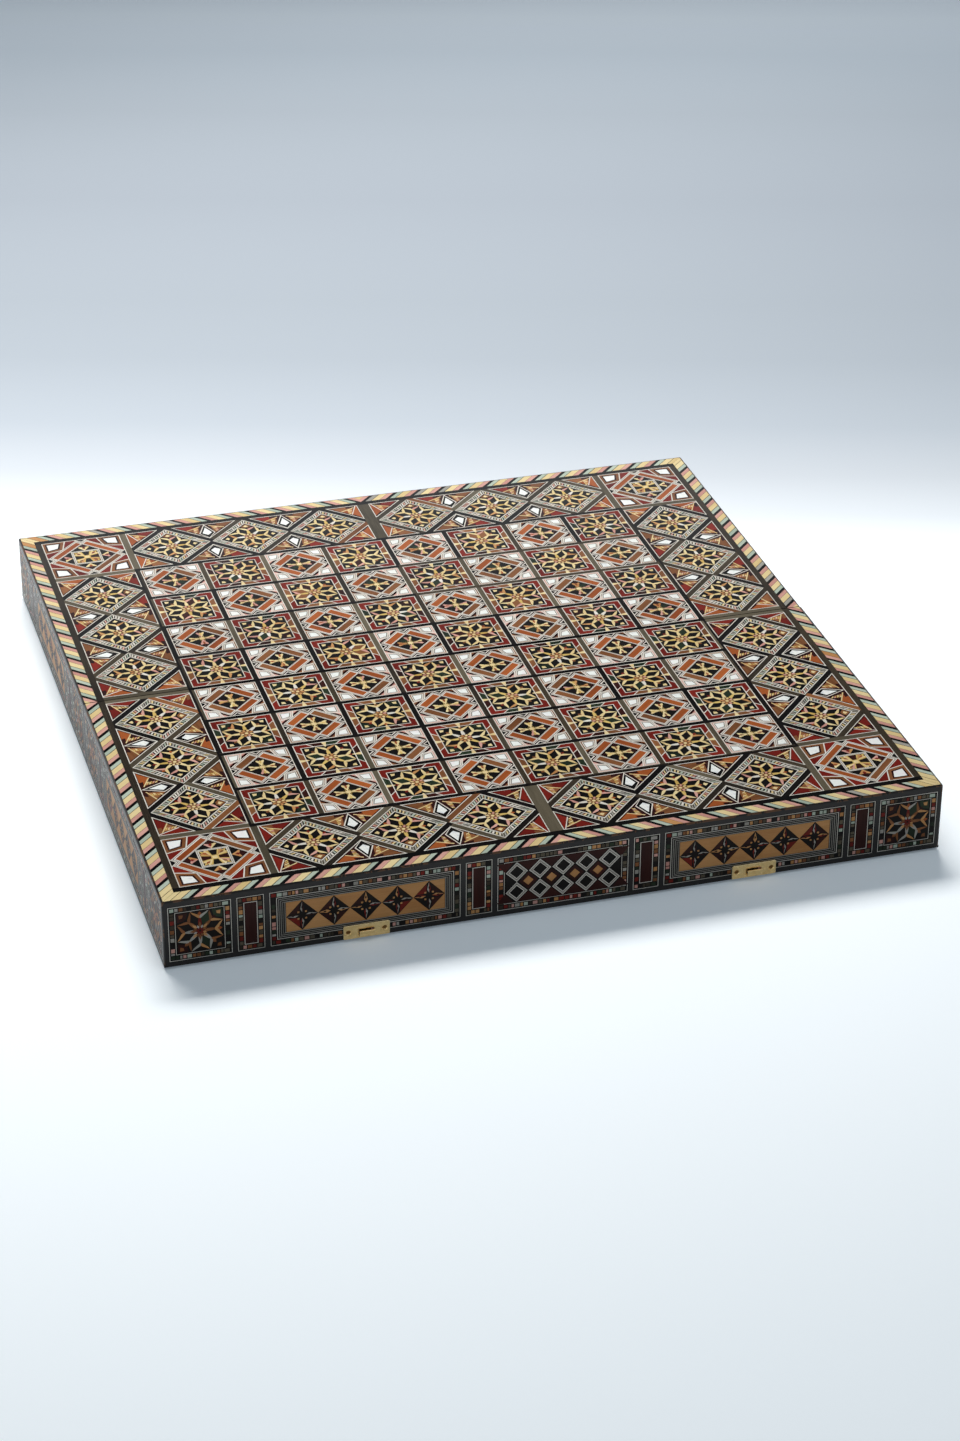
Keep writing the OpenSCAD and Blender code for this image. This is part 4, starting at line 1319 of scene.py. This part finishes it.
def makeWalls(body):
    # Each piece's end walls lie between these distances from the hinge line
    for word, node, slot, wood, near, far, width, choose, segments in (
            ("Sheets", "side_sheets", "ebonised_wood", "ebony", 0, 248.6, rounding["sheets"], outerArris, 3),
            ("Rims", "rim_strips", "rim_walnut", "ebony", 10.5, 238.6, rounding["rims"], None, 2),
            ("Linings", "wall_linings", "lining_veneer", "walnut", 11.3, 237.8, rounding["linings"], None, 2),
            ("HingeWall", "hinge_wall", "wall_wood", "walnut", 0, 0, rounding["hinge"], None, 2)):
        mesh = softened(body + word, "%s_%s" % (body, node), body + "_tray", slot, width, choose, segments)
        setGrain(mesh, wood, lambda c: near < abs(c.y) < far)
    for node, wood, way in (("outer_wall", "walnut", "x"), ("left_wall", "walnut", "y"),
                            ("right_wall", "walnut", "y"), ("base_board", "beech", "x")):
        for holder in bpy.data.objects["%s_%s" % (body, node)].material_slots:
            holder.material = woodMaterial(wood, way)


makeWalls("front")
makeWalls("rear")
print("walls made")


# Where the screws and rivets sit, as the construction has them, and their own sizes
hardware = {"hinge": 165, "hingeScrew": 10.5, "hingeOut": 5.8, "hingeFace": 1.8,
            "latch": 125, "latchScrew": 11.4, "latchFace": 251, "latchUp": 7.05,
            "rivet": 7, "rivetFace": 250, "rivetUp": 9.9}
screwLook = {"head": 1.38, "shank": 0.9, "length": 6.2, "point": 0.15, "slot": 0.6, "slotDeep": 0.5,
             "slotReach": 0.85, "lip": 0.1, "sunk": 0.3, "steps": 24}
rivetProfile = [(0.35, 3.0), (1.1, 2.93), (1.75, 2.74), (2.2, 2.42), (2.2, 2.3), (1.1, 2.3), (1.1, 0.02)]


def turnedProfile(work, profile):
    # Rings of vertices round the z axis, from (radius, height), with walls between them
    steps = screwLook["steps"]
    rings = [[work.verts.new((*(mm * v for v in polar(r, 360 * n / steps)), z * mm)) for n in range(steps)]
             for r, z in profile]
    for upper, lower in zip(rings, rings[1:]):
        joinRings(work, upper, lower)
    return rings


def joinRings(work, upper, lower):
    for n, corner in enumerate(upper):
        m = (n + 1) % len(upper)
        work.faces.new((corner, upper[m], lower[m], lower[n]))


def closedMesh(name, work):
    bmesh.ops.recalc_face_normals(work, faces=work.faces)
    for wall in work.faces:
        wall.smooth = abs(wall.normal.z) < 0.98
    for edge in work.edges:
        if len(edge.link_faces) == 2 and edge.calc_face_angle() > math.radians(30):
            edge.smooth = False
    mesh = bpy.data.meshes.new(name)
    work.to_mesh(mesh)
    work.free()
    return mesh


def screwMesh():
    look, steps = screwLook, screwLook["steps"]
    r, s, lip, length = look["head"], look["shank"], look["lip"], look["length"]
    work = bmesh.new()
    rings = turnedProfile(work, [(r - lip, 0), (r, -lip), (s, s - r - lip), (s, 1 - length),
                                 (look["point"], -length)])
    work.faces.new(reversed(rings[-1]))
    outline = rect(-r * look["slotReach"], -look["slot"] / 2, r * look["slotReach"], look["slot"] / 2)
    points = [Vector((v.co.x / mm, v.co.y / mm)) for v in rings[0]] + [Vector(p) for p in outline]
    loops = [list(range(steps))[::-1], list(range(steps, steps + 4))]
    _, _, cells, _, _, origins = delaunay_2d_cdt(points, [], loops, 1, 1e-5)
    slotTop, slotFloor = ([work.verts.new((x * mm, y * mm, -z * mm)) for x, y in outline]
                          for z in (0, look["slotDeep"]))
    spots = rings[0] + slotTop
    for triangle, origin in zip(cells, origins):
        if origin == [0]:
            work.faces.new([spots[v] for v in triangle])
    joinRings(work, slotTop, slotFloor)
    work.faces.new(slotFloor)
    return closedMesh("screwTile", work)


def rivetMesh():
    work = bmesh.new()
    rings = turnedProfile(work, rivetProfile)
    work.faces.new(rings[0])
    work.faces.new(reversed(rings[-1]))
    return closedMesh("rivetTile", work)


def buildHardwareTree():
    tree, given, outlet = startTree("hardwareOnPlaces", {"Material": ("Material", None)})
    laid = addNode(tree, "GeometryNodeInstanceOnPoints", {}, {
        "Points": given("Geometry"), "Instance": tilesOf(tree, given),
        "Rotation": turnOf(tree, readPoint(tree, "turn", "FLOAT_VECTOR"))})
    shape = addNode(tree, "GeometryNodeRealizeInstances", {}, {"Geometry": laid})
    shape = addNode(tree, "GeometryNodeSetMaterial", {}, {"Geometry": shape, "Material": given("Material")})
    plug(tree, outlet.inputs, {0: shape})
    return tree


hardwareTree = buildHardwareTree()


def layHardware(name, tile, places, body, node):
    # Screws and rivets take the darker brass, partly tarnish and partly painted shade
    piece = runTree(name, hardwareTree, carrierOf(places), [tile], {"Material": brassMaterial("tarnishedAndShaded")})
    keepPiece(piece, body, "brass", node)


def makeHardware():
    dice = random.Random(9)
    look, screw, sunk, sideways = hardware, screwMesh(), screwLook["sunk"], math.pi / 2
    pairs = [(end, side) for end in (-1, 1) for side in (-1, 1)]
    for body, sign, node in (("front", -1, "catch_screws"), ("rear", 1, "hook_screws")):
        tray = body + "_tray"
        places = [(0, (end * look["hinge"] + side * look["hingeScrew"], sign * look["hingeOut"],
                       look["hingeFace"] + sunk), (math.pi, 0, dice.uniform(0, 3))) for end, side in pairs]
        layHardware(body + "HingeScrewHeads", screw, places, tray, body + "_hinge_screws")
        places = [(0, (end * look["latch"] + side * look["latchScrew"], sign * (look["latchFace"] - sunk),
                       look["latchUp"]), (-sign * sideways, dice.uniform(0, 3), 0)) for end, side in pairs]
        layHardware(body + "LatchScrews", screw, places, tray, node)
    places = [(0, (end * look["latch"] + look["rivet"], look["rivetFace"], look["rivetUp"]),
               (-sideways, 0, 0)) for end in (-1, 1)]
    layHardware("latchRivets", rivetMesh(), places, "rear_tray", "hook_rivets")
    for name, node, body in (("frontHingeLeaves", "front_hinge_leaves", "front_tray"),
                             ("rearHingeLeaves", "rear_hinge_leaves", "rear_tray"),
                             ("hingePins", "hinge_pins", "front_tray"),
                             ("catches", "catch_plates", "front_tray"),
                             ("hookPlates", "hook_plates", "rear_tray"),
                             ("leftHook", "left_latch_hook", "left_hook"),
                             ("rightHook", "right_latch_hook", "right_hook")):
        mesh = softened(name, node, body, "brass", rounding["brass"])
        mesh.materials.append(brassMaterial("bright"))


makeHardware()
print("hardware made")


# The floor's tones lie along a slanting line, so that they run level in the picture. They are partly the
# paper's own grade and partly painted shade and light: darker where the rear lamp's pool falls, lighter
# beyond it
stage = {"reach": 8, "slant": (0.284, 0.959), "glow": (90, 99, 106), "farGlow": (152, 160, 167),
         "far": (1.4, 2.9), "rough": 0.9, "specular": 0.1,
         "tones": [(0.24, (244, 248, 250)), (0.31, (208, 212, 216)), (0.38, (184, 188, 193)),
                   (0.47, (163, 169, 176)), (0.6, (151, 157, 164)), (0.72, (150, 156, 163)),
                   (0.96, (158, 164, 172)), (1.2, (178, 185, 193)), (1.38, (202, 211, 220)),
                   (1.5, (228, 236, 244))]}


def alongAxis(tree, vector, axis):
    return addNode(tree, "ShaderNodeSeparateXYZ", {}, {"Vector": vector}, axis)


def rayIs(tree, kind):
    return addNode(tree, "ShaderNodeLightPath", {}, {}, "Is %s Ray" % kind)


def between(tree, value, start, end):
    # 0 at the start and 1 at the end, and no further
    return addNode(tree, "ShaderNodeClamp", {}, {"Value": (value - start) / (end - start)})


def addStage():
    mesh = bpy.data.meshes.new("floor")
    mesh.from_pydata([(x, y, 0) for x, y in square(stage["reach"])], [], [(0, 1, 2, 3)])
    floor = bpy.data.objects.new("floor", mesh)
    scene.collection.objects.link(floor)
    material, tree, shader = startMaterial("paperAndPaintedLight")
    place = objectPlace(tree)
    x, y = (alongAxis(tree, place, axis) for axis in "XY")
    depth = x * stage["slant"][0] + y * stage["slant"][1]
    start, end = stage["tones"][0][0], stage["tones"][-1][0]
    stops = [((at - start) / (end - start), paint(tone)) for at, tone in stage["tones"]]
    away = addNode(tree, "ShaderNodeVectorMath", {"operation": "LENGTH"}, {0: place}, "Value")
    # Painted light: a glow that only camera and glossy rays see, stronger far from the middle
    glow = mixed(tree, between(tree, away, *stage["far"]), paint(stage["glow"]), paint(stage["farGlow"]))
    seen = rayIs(tree, "Camera") + rayIs(tree, "Glossy")
    # Partly painted shade and light: the tones darken the floor where the lamps light it most and lighten it
    # beyond
    tones = addNode(tree, "ShaderNodeValToRGB", {"stops": stops}, {"Fac": (depth - start) / (end - start)})
    plug(tree, shader.inputs, {
        "Base Color": tones, "Emission Color": mixed(tree, seen, paint((0, 0, 0)), glow),
        "Emission Strength": 1, "Roughness": stage["rough"], "Specular IOR Level": stage["specular"]})
    mesh.materials.append(material)


# Gloss also shows a bright backdrop, whose soft upper edge stands between the two given heights
lights = {"sky": (0.7, 0.84, 1.0), "skyPower": 0.08, "backdrop": (244, 250, 255),
          "backdropEdge": (0.446, 0.508), "backdropLean": 0.12,
          "rear": {"place": (-0.2, 1.55, 2.05), "turn": (-30, 0, -5), "size": (2.2, 0.75), "spread": 64,
                   "power": 18, "inGloss": False, "colour": (1.0, 0.985, 0.965)},
          "softbox": {"place": (0.2, -1.4, 3.0), "turn": (0, 0, 0), "size": (4.4, 3.2), "spread": 180,
                      "power": 28, "inGloss": True, "colour": (0.86, 0.94, 1.0)},
          "front": {"place": (1.6, -4.2, 2.2), "turn": (64, 0, 21), "size": (3.0, 2.0), "spread": 180,
                    "power": 16, "inGloss": True, "colour": (0.92, 0.97, 1.0)}}


def addWorld():
    world = bpy.data.worlds.new("world")
    world.use_nodes = True
    tree = world.node_tree
    way = objectPlace(tree)
    height = alongAxis(tree, way, "Z") + alongAxis(tree, way, "X") * lights["backdropLean"]
    shown = rayIs(tree, "Glossy") * (1 - between(tree, height, *lights["backdropEdge"]))
    sky = (*(v * lights["skyPower"] for v in lights["sky"]), 1)
    plug(tree, tree.nodes["Background"].inputs, {
        "Color": mixed(tree, shown, sky, paint(lights["backdrop"])), "Strength": 1})
    scene.world = world


def addLamp(name):
    look = lights[name]
    data = bpy.data.lights.new(name, "AREA")
    data.shape = "RECTANGLE"
    data.size, data.size_y = look["size"]
    data.spread = math.radians(look["spread"])
    data.energy, data.color = look["power"], look["colour"]
    lamp = bpy.data.objects.new(name, data)
    lamp.location, lamp.rotation_euler = look["place"], [math.radians(v) for v in look["turn"]]
    lamp.visible_glossy, lamp.visible_camera = look["inGloss"], False
    scene.collection.objects.link(lamp)


addStage()
addWorld()
for name in ("rear", "softbox", "front"):
    addLamp(name)
scene.view_settings.view_transform = "Standard"
print("stage set")
